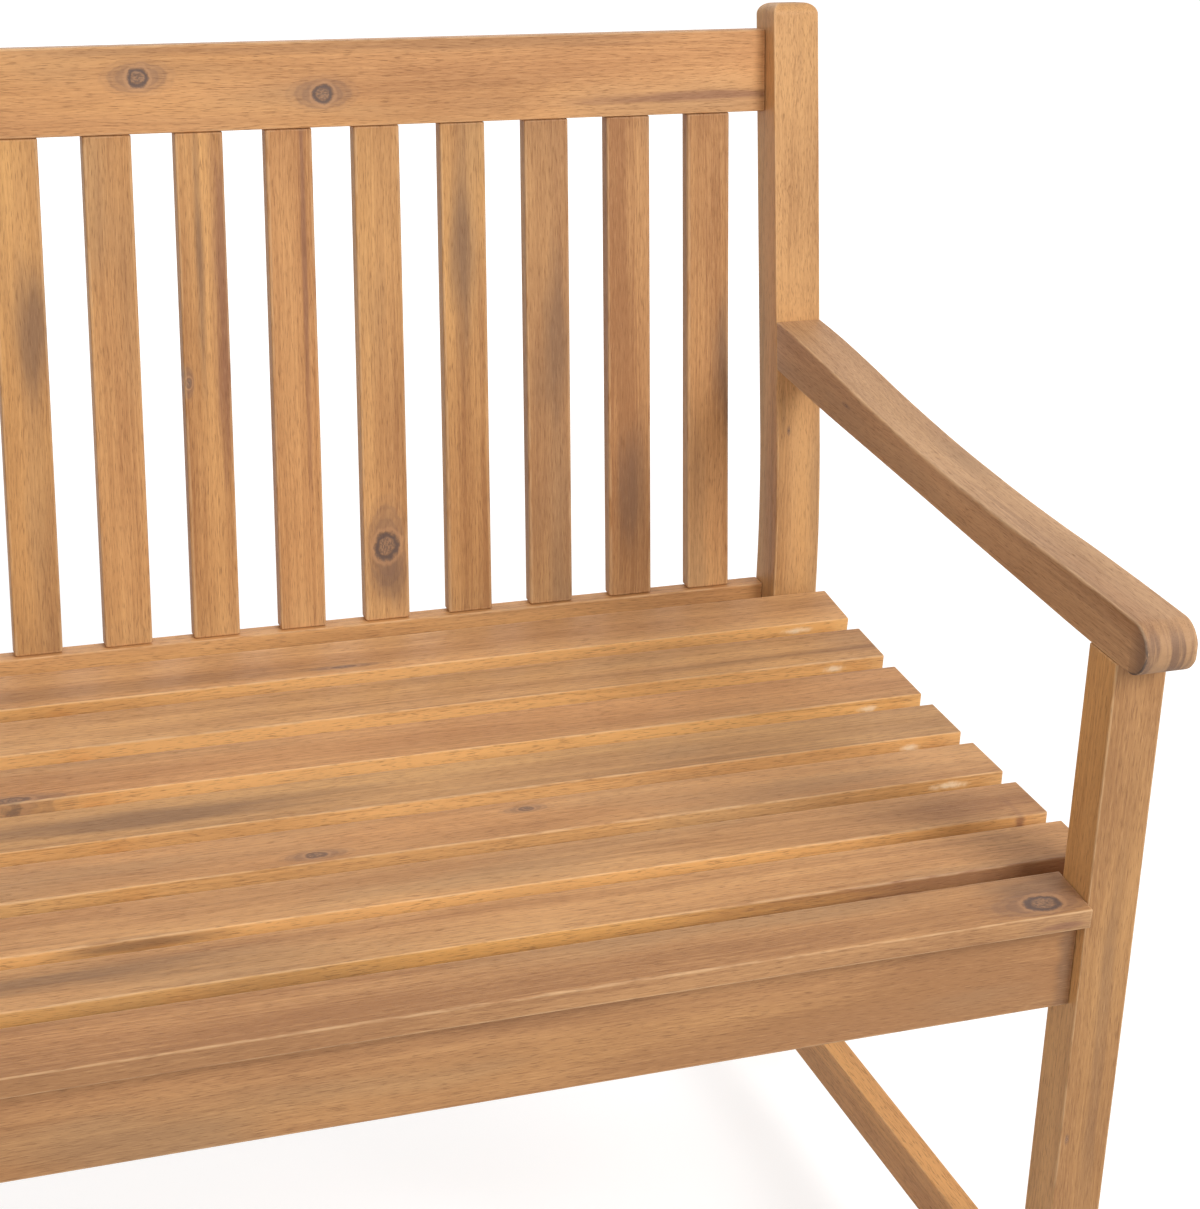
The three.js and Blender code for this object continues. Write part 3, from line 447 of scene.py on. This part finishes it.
    depth = g.total(g.about(wide_rings, 0.95), g.about(fine_rings, 0.40), g.about(fibres, 1.0),
                    g.about(dashes, 0.30), g.about(specks, 0.16), g.about(clouds, 1.35),
                    g.about(broad, 1.15), g.math("MULTIPLY", tone[0], 0.45))
    depth = g.math("ADD", depth, 0.42, clamp=True)
    colour = g.mix(depth, given["Light Wood"], given["Deep Wood"])

    # Pale boards, redder and yellower ground, then a green grey cast
    colour = g.tint(colour, g.span(tone[0], -0.2, -0.6), 1.0, (1.16, 1.14, 1.02), "MULTIPLY")
    warm = g.noise(g.stretched(grain, 2.0, 20.0), 2.0, 0.5)
    warm = g.math("ADD", g.about(warm, 1.5), tone[1])
    for limit, shift in ((1.4, (0.96, 0.80, 0.70)), (-1.4, (1.05, 1.04, 0.78))):
        colour = g.tint(colour, g.span(warm, 0.0, limit, smooth=False), 1.0, shift, "MULTIPLY")
    cast = g.noise(g.stretched(grain, 3.4, 17.0), 2.0, 0.5)
    cast = g.math("ADD", g.span(cast, 0.52, 0.70, 0.0, 0.5), tone[2], clamp=True)
    colour = g.tint(colour, cast, 0.62, (0.335, 0.215, 0.115))

    # Dark runs in the grain, the board's own streak and stain, which in a few places are painted
    # shade, and open pores
    run = g.span(dark_run, 0.60, 0.72)
    colour = g.tint(colour, run, 0.34, (0.215, 0.105, 0.052))
    edge = g.about(g.noise(g.stretched(grain, 12.0, 160.0), 3.0, 0.6), 1.7)
    # The streak is a dark band in the grain, and on the second seat slat's front it is painted shade
    streak = g.span(g.math("ADD", g.vector("LENGTH", given["Streak"]), edge), 1.2, 0.3)
    colour = g.tint(colour, streak, 0.72, (0.250, 0.108, 0.058))
    # The stain is a dark patch in the wood, and at the apron's end and beside the right leg on the
    # front slat it is painted shade
    stain_and_shade_edge = g.about(g.noise(g.stretched(grain, 9.0, 90.0), 3.0, 0.6), 1.6)
    stain_and_shade_mask = g.span(g.math("ADD", g.vector("LENGTH", given["Stain"]), stain_and_shade_edge), 1.35, 0.15)
    colour = g.tint(colour, stain_and_shade_mask, 0.72, (0.195, 0.105, 0.058))
    pore = g.span(dashes, 0.57, 0.70)
    colour = g.tint(colour, pore, 0.46, (0.190, 0.085, 0.036))
    flash = g.span(dashes, 0.42, 0.28)
    colour = g.tint(colour, flash, 0.10, (0.86, 0.53, 0.27))

    # Knots: a smoky surround, a warm collar, a near black ring and a brown heart
    colour = g.tint(colour, knot_smoke, 0.60, (0.205, 0.115, 0.076))
    colour = g.tint(colour, knot_ripple, 0.26, (0.200, 0.108, 0.070))
    colour = g.tint(colour, knot_glow, 0.30, (0.640, 0.340, 0.160))
    colour = g.tint(colour, knot_rim, 0.88, (0.105, 0.068, 0.056))
    heart = g.mix(g.span(specks, 0.40, 0.62), rgb(0.150, 0.092, 0.066), rgb(0.34, 0.190, 0.105))
    colour = g.mix(g.math("MULTIPLY", knot_core, 0.84), colour, heart)

    # Painted glints of light, sawn ends, arrises lighter where rubbed and where a painted highlight
    # catches them, and a dark line on some arrises
    painted_glint_mask = g.math("ADD", g.vector("LENGTH", given["Pale"]), g.about(ragged, 1.6))
    colour = g.tint(colour, g.span(painted_glint_mask, 1.25, 0.15), 0.62, (0.98, 0.80, 0.55))
    bands = g.noise(g.vector("MULTIPLY", grain, (9.0, 16.0, 190.0)), 3.0, 0.62)
    sawn = g.mix(g.span(bands, 0.38, 0.60), rgb(0.165, 0.092, 0.060), rgb(0.42, 0.240, 0.120))
    colour = g.mix(g.math("MULTIPLY", given["End Grain"], 0.80), colour, sawn)
    # Arrises lighter where rubbed, together with a painted highlight where they catch the light
    rub_and_highlight_mask = g.noise(g.vector("MULTIPLY", grain, (40.0, 300.0, 300.0)), 2.0, 0.6)
    rub_and_highlight_mask = g.math("MULTIPLY", given["Wear"], g.span(rub_and_highlight_mask, 0.30, 0.60))
    colour = g.tint(colour, rub_and_highlight_mask, 0.34, (0.80, 0.52, 0.28))
    # A dark line along the inner arris of each arm's nose
    dark_arris_mask = g.math("MULTIPLY", given["Scorch"], g.span(ragged, 0.30, 0.48))
    colour = g.tint(colour, dark_arris_mask, 0.88, (0.082, 0.052, 0.040))

    rough = g.total(g.about(fibres, 0.16), g.math("MULTIPLY", pore, 0.14),
                    g.math("MULTIPLY", given["End Grain"], 0.14), 0.52)
    height = g.total(g.math("MULTIPLY", pore, -0.75), g.about(fibres, 0.45),
                     g.about(fine_rings, 0.22), g.math("MULTIPLY", knot_rim, -0.6),
                     g.math("MULTIPLY", dark_arris_mask, -0.9))
    g.node("NodeGroupOutput", {"Color": colour, "Roughness": rough, "Height": height})
    return tree


HARDWOOD = hardwood_group()


def empty_material(name):
    material = bpy.data.materials.new(name)
    material.use_nodes = True
    material.node_tree.nodes.clear()
    return material, Graph(material.node_tree)


def wood_material(name, light, deep, place=None):
    """Oiled hardwood on a board's own lengths, or for a solid of the frame on Object coordinates,
    where place gives the turn that lays X along the grain and the shift to the pith."""
    material, g = empty_material(name)
    material.diffuse_color = rgb(*light)
    wood = g.node("ShaderNodeGroup", node_tree=HARDWOOD)
    g.put(wood.inputs["Light Wood"], rgb(*light))
    g.put(wood.inputs["Deep Wood"], rgb(*deep))
    if place is None:
        layers = [(label, layer, "Vector") for label, layer, _ in VECTOR_LAYERS]
        layers += [(label, layer, "Fac") for label, layer in FLOAT_LAYERS]
        for label, layer, output in layers:
            attribute = g.node("ShaderNodeAttribute", attribute_name=layer)
            g.put(wood.inputs[label], attribute.outputs[output])
    else:
        turn, shift = place
        where = g.node("ShaderNodeTexCoord").outputs["Object"]
        laid = g.node("ShaderNodeMapping", {"Vector": where, "Location": shift, "Rotation": turn})
        g.put(wood.inputs["Grain"], laid.outputs["Vector"])
    bump = g.node("ShaderNodeBump", {"Height": wood.outputs["Height"], "Strength": 0.32,
                                     "Distance": 0.0006})
    shader = g.node("ShaderNodeBsdfPrincipled", {
        "Base Color": wood.outputs["Color"], "Roughness": wood.outputs["Roughness"],
        "Normal": bump.outputs["Normal"], "IOR": 1.45, "Specular IOR Level": 0.38})
    g.node("ShaderNodeOutputMaterial", {"Surface": shader.outputs[0]})
    return material


def steel_material():
    """Zinc plated steel: fine turning marks round the head and a few dull spots."""
    material, g = empty_material("zinc_plated_steel")
    where = g.node("ShaderNodeTexCoord").outputs["Object"]
    spots = g.noise(g.vector("MULTIPLY", where, (420, 420, 420)), 3.0, 0.6)
    lines = g.noise(g.vector("MULTIPLY", where, (60, 2600, 2600)), 2.0, 0.6)
    colour = g.mix(g.span(spots, 0.42, 0.7), rgb(0.56, 0.56, 0.55), rgb(0.36, 0.355, 0.34))
    rough = g.math("ADD", g.math("MULTIPLY", spots, 0.25), g.math("MULTIPLY", lines, 0.18))
    bump = g.node("ShaderNodeBump", {"Height": lines, "Strength": 0.2, "Distance": 0.0002})
    shader = g.node("ShaderNodeBsdfPrincipled", {
        "Base Color": colour, "Roughness": rough, "Normal": bump.outputs["Normal"], "Metallic": 1.0})
    g.node("ShaderNodeOutputMaterial", {"Surface": shader.outputs[0]})
    return material


BACK_WOOD = wood_material("back_slat_wood", (0.70, 0.375, 0.148), (0.36, 0.160, 0.058))
RAIL_WOOD = wood_material("rail_wood", (0.68, 0.350, 0.140), (0.37, 0.165, 0.062))
SEAT_WOOD = wood_material("seat_slat_wood", (0.70, 0.380, 0.160), (0.37, 0.172, 0.068))
FRAME_WOOD = wood_material("end_frame_wood", (0.62, 0.330, 0.135), (0.34, 0.158, 0.060))
ARM_WOOD = wood_material("armrest_wood", (0.60, 0.345, 0.178), (0.33, 0.165, 0.074))
STEEL = steel_material()


def finish_piece(made, material, slot, *nodes):
    piece = made[0]
    piece.data.materials.append(material)
    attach(piece, "root")
    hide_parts(*nodes)


# Back slats, numbered from the left. A mark whose size is 60 goes right through its board.
THROUGH = 60
rail_front = np.array([0, TOP_RAIL_Y, TOP_RAIL["z"]], float)
slat_front = rail_front + BACK_IN * SLAT_SET_BACK
SLAT_LOOKS = {
    # number: tone, red, grey, knots as (across, z, radius, stretch), then the stain and the streak
    # as (across, z, long, wide)
    9: (0.05, -0.6, 0.1, [], (8, 672, 52, 14), None),
    10: (0.05, -0.1, 0.0, [], None, None),
    11: (0.15, -0.3, 0.0, [(-14.5, 623, 2.3, 1.7)], (-3, 720, 120, 4), (14, 690, 160, 8)),
    12: (0.22, 0.25, 0.0, [], None, (9, 720, 190, 2.6)),
    13: (0.18, -0.2, 0.1, [(0, 487, 8.8, 1.2)], (2, 462, 22, 17), None),
    14: (0.30, -0.45, 0.1, [], (-2, 703, 84, 9), None),
    15: (0.70, 0.1, 0.3, [], (6, 632, 78, 13), None),
    16: (1.0, 0.25, 0.1, [], (1, 512, 60, 16), None),
    17: (0.50, 0.0, 0.0, [], (14, 612, 58, 10), None),
}
for number in range(1, SLAT_COUNT + 1):
    name = f"back_slat_{number:02d}"
    x = (number - (SLAT_COUNT + 1) / 2) * SLAT_PITCH
    rng = np.random.default_rng(100 + number)
    usual = (rng.uniform(-0.1, 0.4), rng.uniform(-0.5, 0.3), rng.uniform(0, 0.25), [], None, None)
    tone, red, grey, knots, stain, streak = SLAT_LOOKS.get(number, usual)
    low_z = BOTTOM_RAIL["top"] + FIT
    lines = []
    for into in (0, SLAT_THICK):
        top = slat_front + BACK_IN * into - BACK_UP * FIT
        foot = top + BACK_UP * ((low_z - top[2]) / BACK_UP[2])
        lines.append(np.stack([foot, top]) + X * (x - SLAT_WIDTH / 2))
    made = board(name + "_board", lines[0], lines[1], X * SLAT_WIDTH, rings=50, seed=number)
    middle = (lines[0].mean(0) + lines[1].mean(0)) / 2 + X * SLAT_WIDTH / 2

    def on_slat(across, z):
        return slat_front + BACK_UP * ((z - slat_front[2]) / BACK_UP[2]) + X * (x + across)

    def patch(mark):
        return mark and (on_slat(mark[0], mark[1]), (mark[2], mark[3], THROUGH))

    grain_data(made, (BACK_UP, X, BACK_IN), middle, 300 + number, tone=tone, red=red, grey=grey,
               knots=[(on_slat(a, z), r, s, True) for a, z, r, s in knots], stain=patch(stain),
               streak=patch(streak))
    finish_piece(made, BACK_WOOD, "back_slats", name)

# Rails of the back
start = rail_front - X * (INNER_X - FIT)
span = X * 2 * (INNER_X - FIT)
lower = np.stack([start, start + span])
made = board("back_rail_top_board", lower, lower + BACK_UP * TOP_RAIL["height"],
             BACK_IN * TOP_RAIL["thick"], rings=160, radius=CRISP, seed=40)
grain_data(made, (X, BACK_UP, BACK_IN), rail_front + BACK_UP * 30, 40, pith=(-6, 46),
           tone=0.02, red=-0.1,
           knots=[(rail_front + X * 89.5 + BACK_UP * 40.4, 6.5, 1.1, True),
                  (rail_front + X * 225 + BACK_UP * 24.5, 6.5, 1.1, True)],
           streak=(rail_front + X * 530 + BACK_UP * 13, (120, 5.0, THROUGH)))
finish_piece(made, RAIL_WOOD, "rails", "back_rail_top")

start = np.array([-INNER_X + FIT, BOTTOM_RAIL["y"], BOTTOM_RAIL["top"] - BOTTOM_RAIL["height"]])
lower = np.stack([start, start + span])
made = board("back_rail_bottom_board", lower, lower + Z * BOTTOM_RAIL["height"],
             Y * BOTTOM_RAIL["thick"], rings=120, radius=CRISP, seed=41)
grain_data(made, (X, Z, Y), (0, BOTTOM_RAIL["y"], 399), 41, pith=(30, 70), tone=-0.26, red=-0.2)
finish_piece(made, RAIL_WOOD, "rails", "back_rail_bottom")

# Seat slats, numbered from the front. Each mark is (x, across, how deep), then its sizes. The front
# face has a tone, red and grey of its own, painted light and shade that sets it apart from the top,
# and on most slats the usual ones, which paint the fronts lighter and yellower as lit faces.
LIT_FRONT_TONE = (-0.55, -0.35, 0.0)
seat_pitch = (POST["y"] - SEAT_LAST_GAP - SEAT_FIRST_Y) / (len(SEAT_RISES) - 1)
SEAT_LOOKS = {
    # Slat 1: the stain beside the right leg is the knot's smoke together with painted shade of the
    # leg
    1: {"tone": 0.60, "red": 0.15, "grey": 0.15, "front": (0.85, -0.1, 0.2),
        "knots": [((548.6, -8.5, 0), 7.9, 1.5, True)],
        "stain": ((556, 10, 0), (42, 15, 60)), "streak": ((560, -23.75, 9), (18, 60, 3.2))},
    # Slat 2: the streak on the front face is painted shade over its right half
    2: {"tone": 0.0, "red": 0.1, "front": (-0.45, -0.8, 0.0), "stain": ((-80, 4, 0), (150, 12, 60)),
        "streak": ((560, -23.75, 7), (240, 1.8, 60))},
    3: {"tone": 0.18, "red": 0.1, "stain": ((-10, -23, 4), (60, 5, 5)),
        "streak": ((595, -23, 8), (4, 60, 9))},
    # Slats 4 to 8: the pale mark near the right end of each front face is a painted glint of light
    4: {"tone": 0.10, "red": 0.2, "front": (-0.35, -0.6, 0.0),
        "knots": [((118.3, -14.2, 0), 3.6, 1.9, True), ((270.7, 11.2, 0), 3.0, 1.7, True)],
        "pale": ((574, -23.75, 6), (15, 60, 3))},
    5: {"tone": 0.22, "red": -0.35, "grey": 0.3, "stain": ((30, 0, 0), (160, 14, 60)),
        "pale": ((574.6, -23.75, 7.7), (9, 60, 3))},
    6: {"tone": 0.22, "red": 0.4, "knots": [((-56.7, -20, 0), 3.6, 3.4, True)],
        "pale": ((572.4, -23.75, 7.3), (8, 60, 3))},
    7: {"tone": 0.12, "red": -0.2, "grey": 0.1, "pale": ((574.5, -23.75, 6.9), (9, 60, 3))},
    8: {"tone": -0.2, "red": 0.1, "front": (-0.8, -0.4, 0.0),
        "knots": [((209.2, -14.4, 0), 1.5, 6.0, True)],
        "pale": ((571.9, -23.75, 6), (12, 60, 3))},
}
seat = []
for i, (rise, tip) in enumerate(zip(SEAT_RISES, SEAT_TIPS)):
    dip = math.radians(tip)
    middle = np.array([0, SEAT_FIRST_Y + i * seat_pitch, SEAT_LOW_Z + SEAT_DISH * rise])
    over = np.array([0, math.cos(dip), math.sin(dip)])
    down = np.array([0, math.sin(dip), -math.cos(dip)])
    seat.append((middle, over, down))
for number, (middle, over, down) in enumerate(seat, 1):
    name = f"seat_slat_{number}"
    half = INNER_X - FIT if number == 1 else OUTER_X
    front = middle - over * SEAT_WIDTH / 2 - X * half
    ends = np.stack([front, front + X * 2 * half])
    made = board(name + "_board", ends, ends + over * SEAT_WIDTH, down * SEAT_THICK, rings=150,
                 radius=CRISP, seed=60 + number)
    look = SEAT_LOOKS[number]

    def on_seat(place):
        return middle + X * place[0] + over * place[1] + down * place[2]

    def patch(mark):
        return mark and (on_seat(mark[0]), mark[1])

    grain_data(made, (X, over, down), middle, 80 + number, tone=look["tone"], red=look["red"],
               grey=look.get("grey", 0.0),
               knots=[(on_seat(p), r, s, f) for p, r, s, f in look.get("knots", [])],
               stain=patch(look.get("stain")), streak=patch(look.get("streak")),
               pale=patch(look.get("pale")), front=look.get("front", LIT_FRONT_TONE))
    finish_piece(made, SEAT_WOOD, "seat_slats", name)

# Middle bearer: its top follows the undersides of the slats and drops away behind the last one
under = []
for middle, over, down in seat:
    under += [middle + over * s * SEAT_WIDTH / 2 + down * SEAT_THICK for s in (-1, 1)]
under = np.array(under)
y = np.linspace(APRON["y"] + APRON["thick"] + FIT, BOTTOM_RAIL["y"] - FIT, 400)
top = np.interp(y, under[:, 1], under[:, 2]) - FIT
behind = np.clip(y - under[-1, 1] + BEARER["drop_from"], 0, BEARER["drop_from"])
top = np.minimum(top, under[-1, 2] - FIT - BEARER["drop_slope"] * behind)
upper = np.stack([0 * y - BEARER["thick"] / 2, y, top], 1)
lower = np.stack([upper[:, 0], y, 0 * y + BEARER["bottom"]], 1)
made = board("seat_bearer_middle_board", lower, upper, X * BEARER["thick"], rings=160,
             radius=CRISP, seed=43)
grain_data(made, (Y, Z, X), (0, 286, 390), 43, pith=(40, 60), tone=0.1, red=0.0)
finish_piece(made, RAIL_WOOD, "rails", "seat_bearer_middle")

# Front apron, with its top dropped under the front slat
start = np.array([-INNER_X + FIT, APRON["y"], APRON["bottom"]])
lower = np.stack([start, start + span])
_, front_y, front_z = seat[0][0]
front_dip = math.radians(SEAT_TIPS[0])
apron_top = front_z - SEAT_THICK - (front_y - APRON["y"]) * math.tan(front_dip) - 2 * FIT
made = board("front_apron_board", lower, lower + Z * (apron_top - APRON["bottom"]),
             Y * APRON["thick"], rings=140, radius=CRISP, seed=42)
# The stain at the right end, where the apron meets the leg, is painted shade
grain_data(made, (X, Z, Y), (0, APRON["y"], 380), 42, pith=(-22, 62), tone=0.95, red=-0.1, grey=0.30,
           stain=((572, APRON["y"], 380), (7, THROUGH, THROUGH)))
finish_piece(made, RAIL_WOOD, "rails", "front_apron")


# End frames

ARM_END_Y = float(post_front(ARM_TOP_Z)) + POST["head"] / 2


def arm_line(shares, base, rise):
    """A smooth edge of the arm as heights at evenly spaced y: between each two places a cubic, whose
    slope at a place is half the step from the place before it to the place after it."""
    places = np.array([(ARM_END_Y * a, base + rise * b) for a, b in shares])
    p = np.vstack([places[:1], places, places[-1:]])
    t = np.linspace(0, len(places) - 1, 300)
    i = np.minimum(t.astype(int), len(places) - 2)
    u = (t - i)[:, None]
    from_slope = (p[i + 2] - p[i]) / 2
    to_slope = (p[i + 3] - p[i + 1]) / 2
    step = p[i + 2] - p[i + 1]
    line = p[i + 1] + from_slope * u + (3 * step - 2 * from_slope - to_slope) * u ** 2
    line = line + (from_slope + to_slope - 2 * step) * u ** 3
    return lambda y: np.interp(y, line[:, 0], line[:, 1])


arm_top = arm_line(ARM_TOP_SHARES, ARM_TOP_Z, ARM_TOP_RISE)
arm_under = arm_line(ARM_UNDER_SHARES, ARM_UNDER_Z, ARM_UNDER_RISE)
arm_radius = (ARM_TOP_Z - ARM_UNDER_Z) / 2


def arm_edge(height, inner):
    """One long edge of the arm on its inner face, from the nose to where y is the post's front face
    at the edge's own height, less the gap. That place is looked for from y 500 to y 590."""
    y = np.linspace(500, 590, 900)
    end = y[np.argmin(abs(post_front(height(y)) - FIT - y))]
    y = np.linspace(ARM_NOSE_Y, end, 300)
    return np.stack([np.full_like(y, inner), y, height(y)], 1)


for side_name, sign in (("left", -1), ("right", 1)):
    inner = sign * INNER_X
    width = X * LEG_WIDTH * sign
    centre_x = sign * (INNER_X + LEG_WIDTH / 2)
    offset = 0 if sign < 0 else 500

    # Leg
    top = ARM_UNDER_Z - FIT
    edges = [np.array([[inner, y, 0], [inner, y, top]], float) for y in (0, LEG_DEPTH)]
    made = board(f"front_leg_{side_name}_board", edges[0], edges[1], width, rings=90, radius=CRISP,
                 seed=offset + 1)
    looks = {}
    if sign > 0:
        looks = {"knots": [((583.7, 0, 247.7), 0.9, 1.4, False)],
                 "stain": ((600, -30, 330), (170, 40, 9))}
    # The leg is lighter all round, with a darker tone of its own on the front face, which paints its
    # sides lighter against the front: painted light and shade
    grain_data(made, (Z, Y, X), (centre_x, LEG_DEPTH / 2, 292), offset + 1, pith=(70, 25), tone=-0.5,
               red=-0.15, grey=0.12, front=(0.85, -0.4, 0.16), **looks)
    finish_piece(made, FRAME_WOOD, "end_frames", f"front_leg_{side_name}")

    # Rear post, with its depth measured square to its front face
    heights = np.linspace(0, POST["top"], 400)
    slope = np.arcsin(np.clip((heights - POST["bend_z"]) / POST["radius"], 0, math.sin(POST_LEAN)))
    front_line = np.stack([np.full_like(heights, inner), post_front(heights), heights], 1)
    depth = POST["foot"] + (POST["head"] - POST["foot"]) * slope / POST_LEAN
    back_line = front_line + np.stack([0 * depth, depth * np.cos(slope), -depth * np.sin(slope)], 1)
    made = board(f"rear_post_{side_name}_board", front_line, back_line, width, rings=150,
                 radius=CRISP, end=(POST["round"], POST["round"]), seed=offset + 2)
    axis = unit([0, math.sin(POST_LEAN * 0.6), math.cos(POST_LEAN * 0.6)])
    looks = {"knots": [((588.6, post_front(562), 562), 0.9, 1.4, False)]} if sign > 0 else {}
    grain_data(made, (axis, np.cross(X, axis), X), (centre_x, 560, 542), offset + 2, pith=(60, 80),
               tone=-0.25, red=-0.2, **looks)
    finish_piece(made, FRAME_WOOD, "end_frames", f"rear_post_{side_name}")

    # Armrest. Its nose shows more and more end grain as it turns down, and a dark line along its
    # inner arris.
    made = board(f"armrest_{side_name}_board", arm_edge(arm_top, inner), arm_edge(arm_under, inner),
                 width, rings=120, start=(arm_radius, SOFT), seed=offset + 3)
    _, points, wear, _ = made
    centre_y = ARM_NOSE_Y + arm_radius
    turned = (np.clip((centre_y - points[:, 1]) / arm_radius, 0, 1)
              + 0.5 * np.clip((ARM_TOP_Z - arm_radius - points[:, 2]) / arm_radius, 0, 1)
              * (points[:, 1] < centre_y))
    lowness = np.clip((ARM_TOP_Z + 4 - points[:, 2]) / arm_radius, 0, 1)
    on_inner_arris = wear * (abs(points[:, 0] - inner) < 1.2 * SOFT)
    scorch = on_inner_arris * lowness * np.clip((centre_y + 6 - points[:, 1]) / 10, 0, 1)
    looks = {"knots": [((inner, 416, 626), 1.0, 2.4, True)]} if sign > 0 else {}
    grain_data(made, (Y, Z, X), (centre_x, 260, 617), offset + 3, pith=(-40, 60), tone=0.05, red=0.0,
               grey=0.1, nose=np.clip(turned, 0, 1), scorch=scorch, **looks)
    finish_piece(made, ARM_WOOD, "end_frames", f"armrest_{side_name}")

    # Lower side stretcher
    bar_x = sign * (INNER_X + STRETCHER["inset"])
    low = STRETCHER["top"] - STRETCHER["height"]
    line = np.array([[bar_x, LEG_DEPTH + FIT, low], [bar_x, POST["y"] - FIT, low]], float)
    made = board(f"side_stretcher_{side_name}_board", line, line + Z * STRETCHER["height"],
                 X * STRETCHER["thick"] * sign, rings=80, radius=CRISP, seed=offset + 4)
    grain_data(made, (Y, Z, X), (bar_x, 260, 82), offset + 4, pith=(50, 50), tone=-0.55, red=-0.2)
    finish_piece(made, RAIL_WOOD, "rails", f"side_stretcher_{side_name}")


# Solids of the frame that keep their own shape

def dress(node_name, material):
    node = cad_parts[node_name]
    node.data.materials.clear()
    node.data.materials.append(material)


for side_name, shift in (("left", 0.5), ("right", 2.2)):
    material = wood_material(f"seat_rail_{side_name}_wood", (0.62, 0.34, 0.150), (0.34, 0.160, 0.066),
                             ((0, 0, -math.pi / 2), (shift, 0.64, -0.33)))
    dress(f"seat_side_rail_{side_name}", material)
for node_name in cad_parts:
    if "bolt" in node_name:
        dress(node_name, STEEL)


# Floor, light and camera

def seen_directly(g):
    """One where the camera, a mirror or clear glass looks straight at the surface, else nought."""
    path = g.node("ShaderNodeLightPath")
    seen = g.math("MAXIMUM", path.outputs["Is Camera Ray"], path.outputs["Is Glossy Ray"])
    return g.math("MAXIMUM", seen, path.outputs["Is Transmission Ray"])


floor_material, g = empty_material("pale_floor")
matt = g.node("ShaderNodeBsdfDiffuse", {"Color": rgb(0.62, 0.62, 0.62)})
# The lamps light the floor near the bench, and farther off its own glow makes up for them
away = g.vector("LENGTH", g.node("ShaderNodeTexCoord").outputs["Object"])
brightness = g.math("MULTIPLY", seen_directly(g), g.span(away, 1.0, 2.6, 0.60, 0.80))
glow = g.node("ShaderNodeEmission", {"Color": rgb(1, 1, 1), "Strength": brightness})
both = g.node("ShaderNodeAddShader", {0: matt.outputs[0], 1: glow.outputs[0]})
g.node("ShaderNodeOutputMaterial", {"Surface": both.outputs[0]})
FLOOR_REACH = 30
corners = [(x * FLOOR_REACH, y * FLOOR_REACH, 0) for x, y in ((-1, -1), (1, -1), (1, 1), (-1, 1))]
floor_mesh = bpy.data.meshes.new("floor")
floor_mesh.from_pydata(corners, [], [(0, 1, 2, 3)])
floor = put_in_scene("floor", floor_mesh)
floor.data.materials.append(floor_material)

world = bpy.data.worlds.new("studio")
bpy.context.scene.world = world
world.use_nodes = True
world.node_tree.nodes.clear()
g = Graph(world.node_tree)
# White where it is seen directly, and 0.40 as a light
strength = g.math("ADD", g.math("MULTIPLY", seen_directly(g), 0.60), 0.40)
sky = g.node("ShaderNodeBackground", {"Color": rgb(1, 1, 1), "Strength": strength})
g.node("ShaderNodeOutputWorld", {"Surface": sky.outputs[0]})


def lamp(name, place, target, size, power):
    data = bpy.data.lights.new(name, "AREA")
    data.shape = "RECTANGLE"
    data.size, data.size_y = size
    data.energy = power
    made = put_in_scene(name, data)
    made.location = place
    made.rotation_mode = "QUATERNION"
    made.rotation_quaternion = (Vector(target) - Vector(place)).to_track_quat("-Z", "Y")


lamp("key_softbox", (2.1, -3.3, 2.7), (0.1, 0.0, 0.5), (1.7, 1.7), 120)
lamp("fill_softbox", (-2.0, -3.4, 2.4), (0.0, 0.0, 0.5), (2.4, 2.4), 38)
lamp("back_softbox", (0.6, 3.6, 2.2), (0.0, 0.0, 0.5), (2.4, 2.0), 20)
lamp("top_softbox", (0.2, 0.2, 3.6), (0.0, 0.0, 0.4), (2.6, 2.0), 20)

# The photograph is the right part of a wider picture, so its middle lies off the lens's axis
RIGHT = (0.926149, -0.37258, 0.058587)
UP = (0.082424, 0.351527, 0.932542)
BACK = (-0.368042, -0.858844, 0.356275)
EYE = (-0.316226, -1.725805, 1.332996)
data = bpy.data.cameras.new("camera")
data.sensor_width = 36
data.sensor_fit = "HORIZONTAL"
data.lens = 86.8015
data.shift_x = -0.0926
data.shift_y = -0.0966
data.clip_start, data.clip_end = 0.05, 100
camera = put_in_scene("camera", data)
turn = Matrix((RIGHT, UP, BACK)).transposed()
camera.matrix_world = Matrix.Translation(EYE) @ turn.to_4x4()
bpy.context.scene.camera = camera
bpy.context.scene.view_settings.view_transform = "Standard"
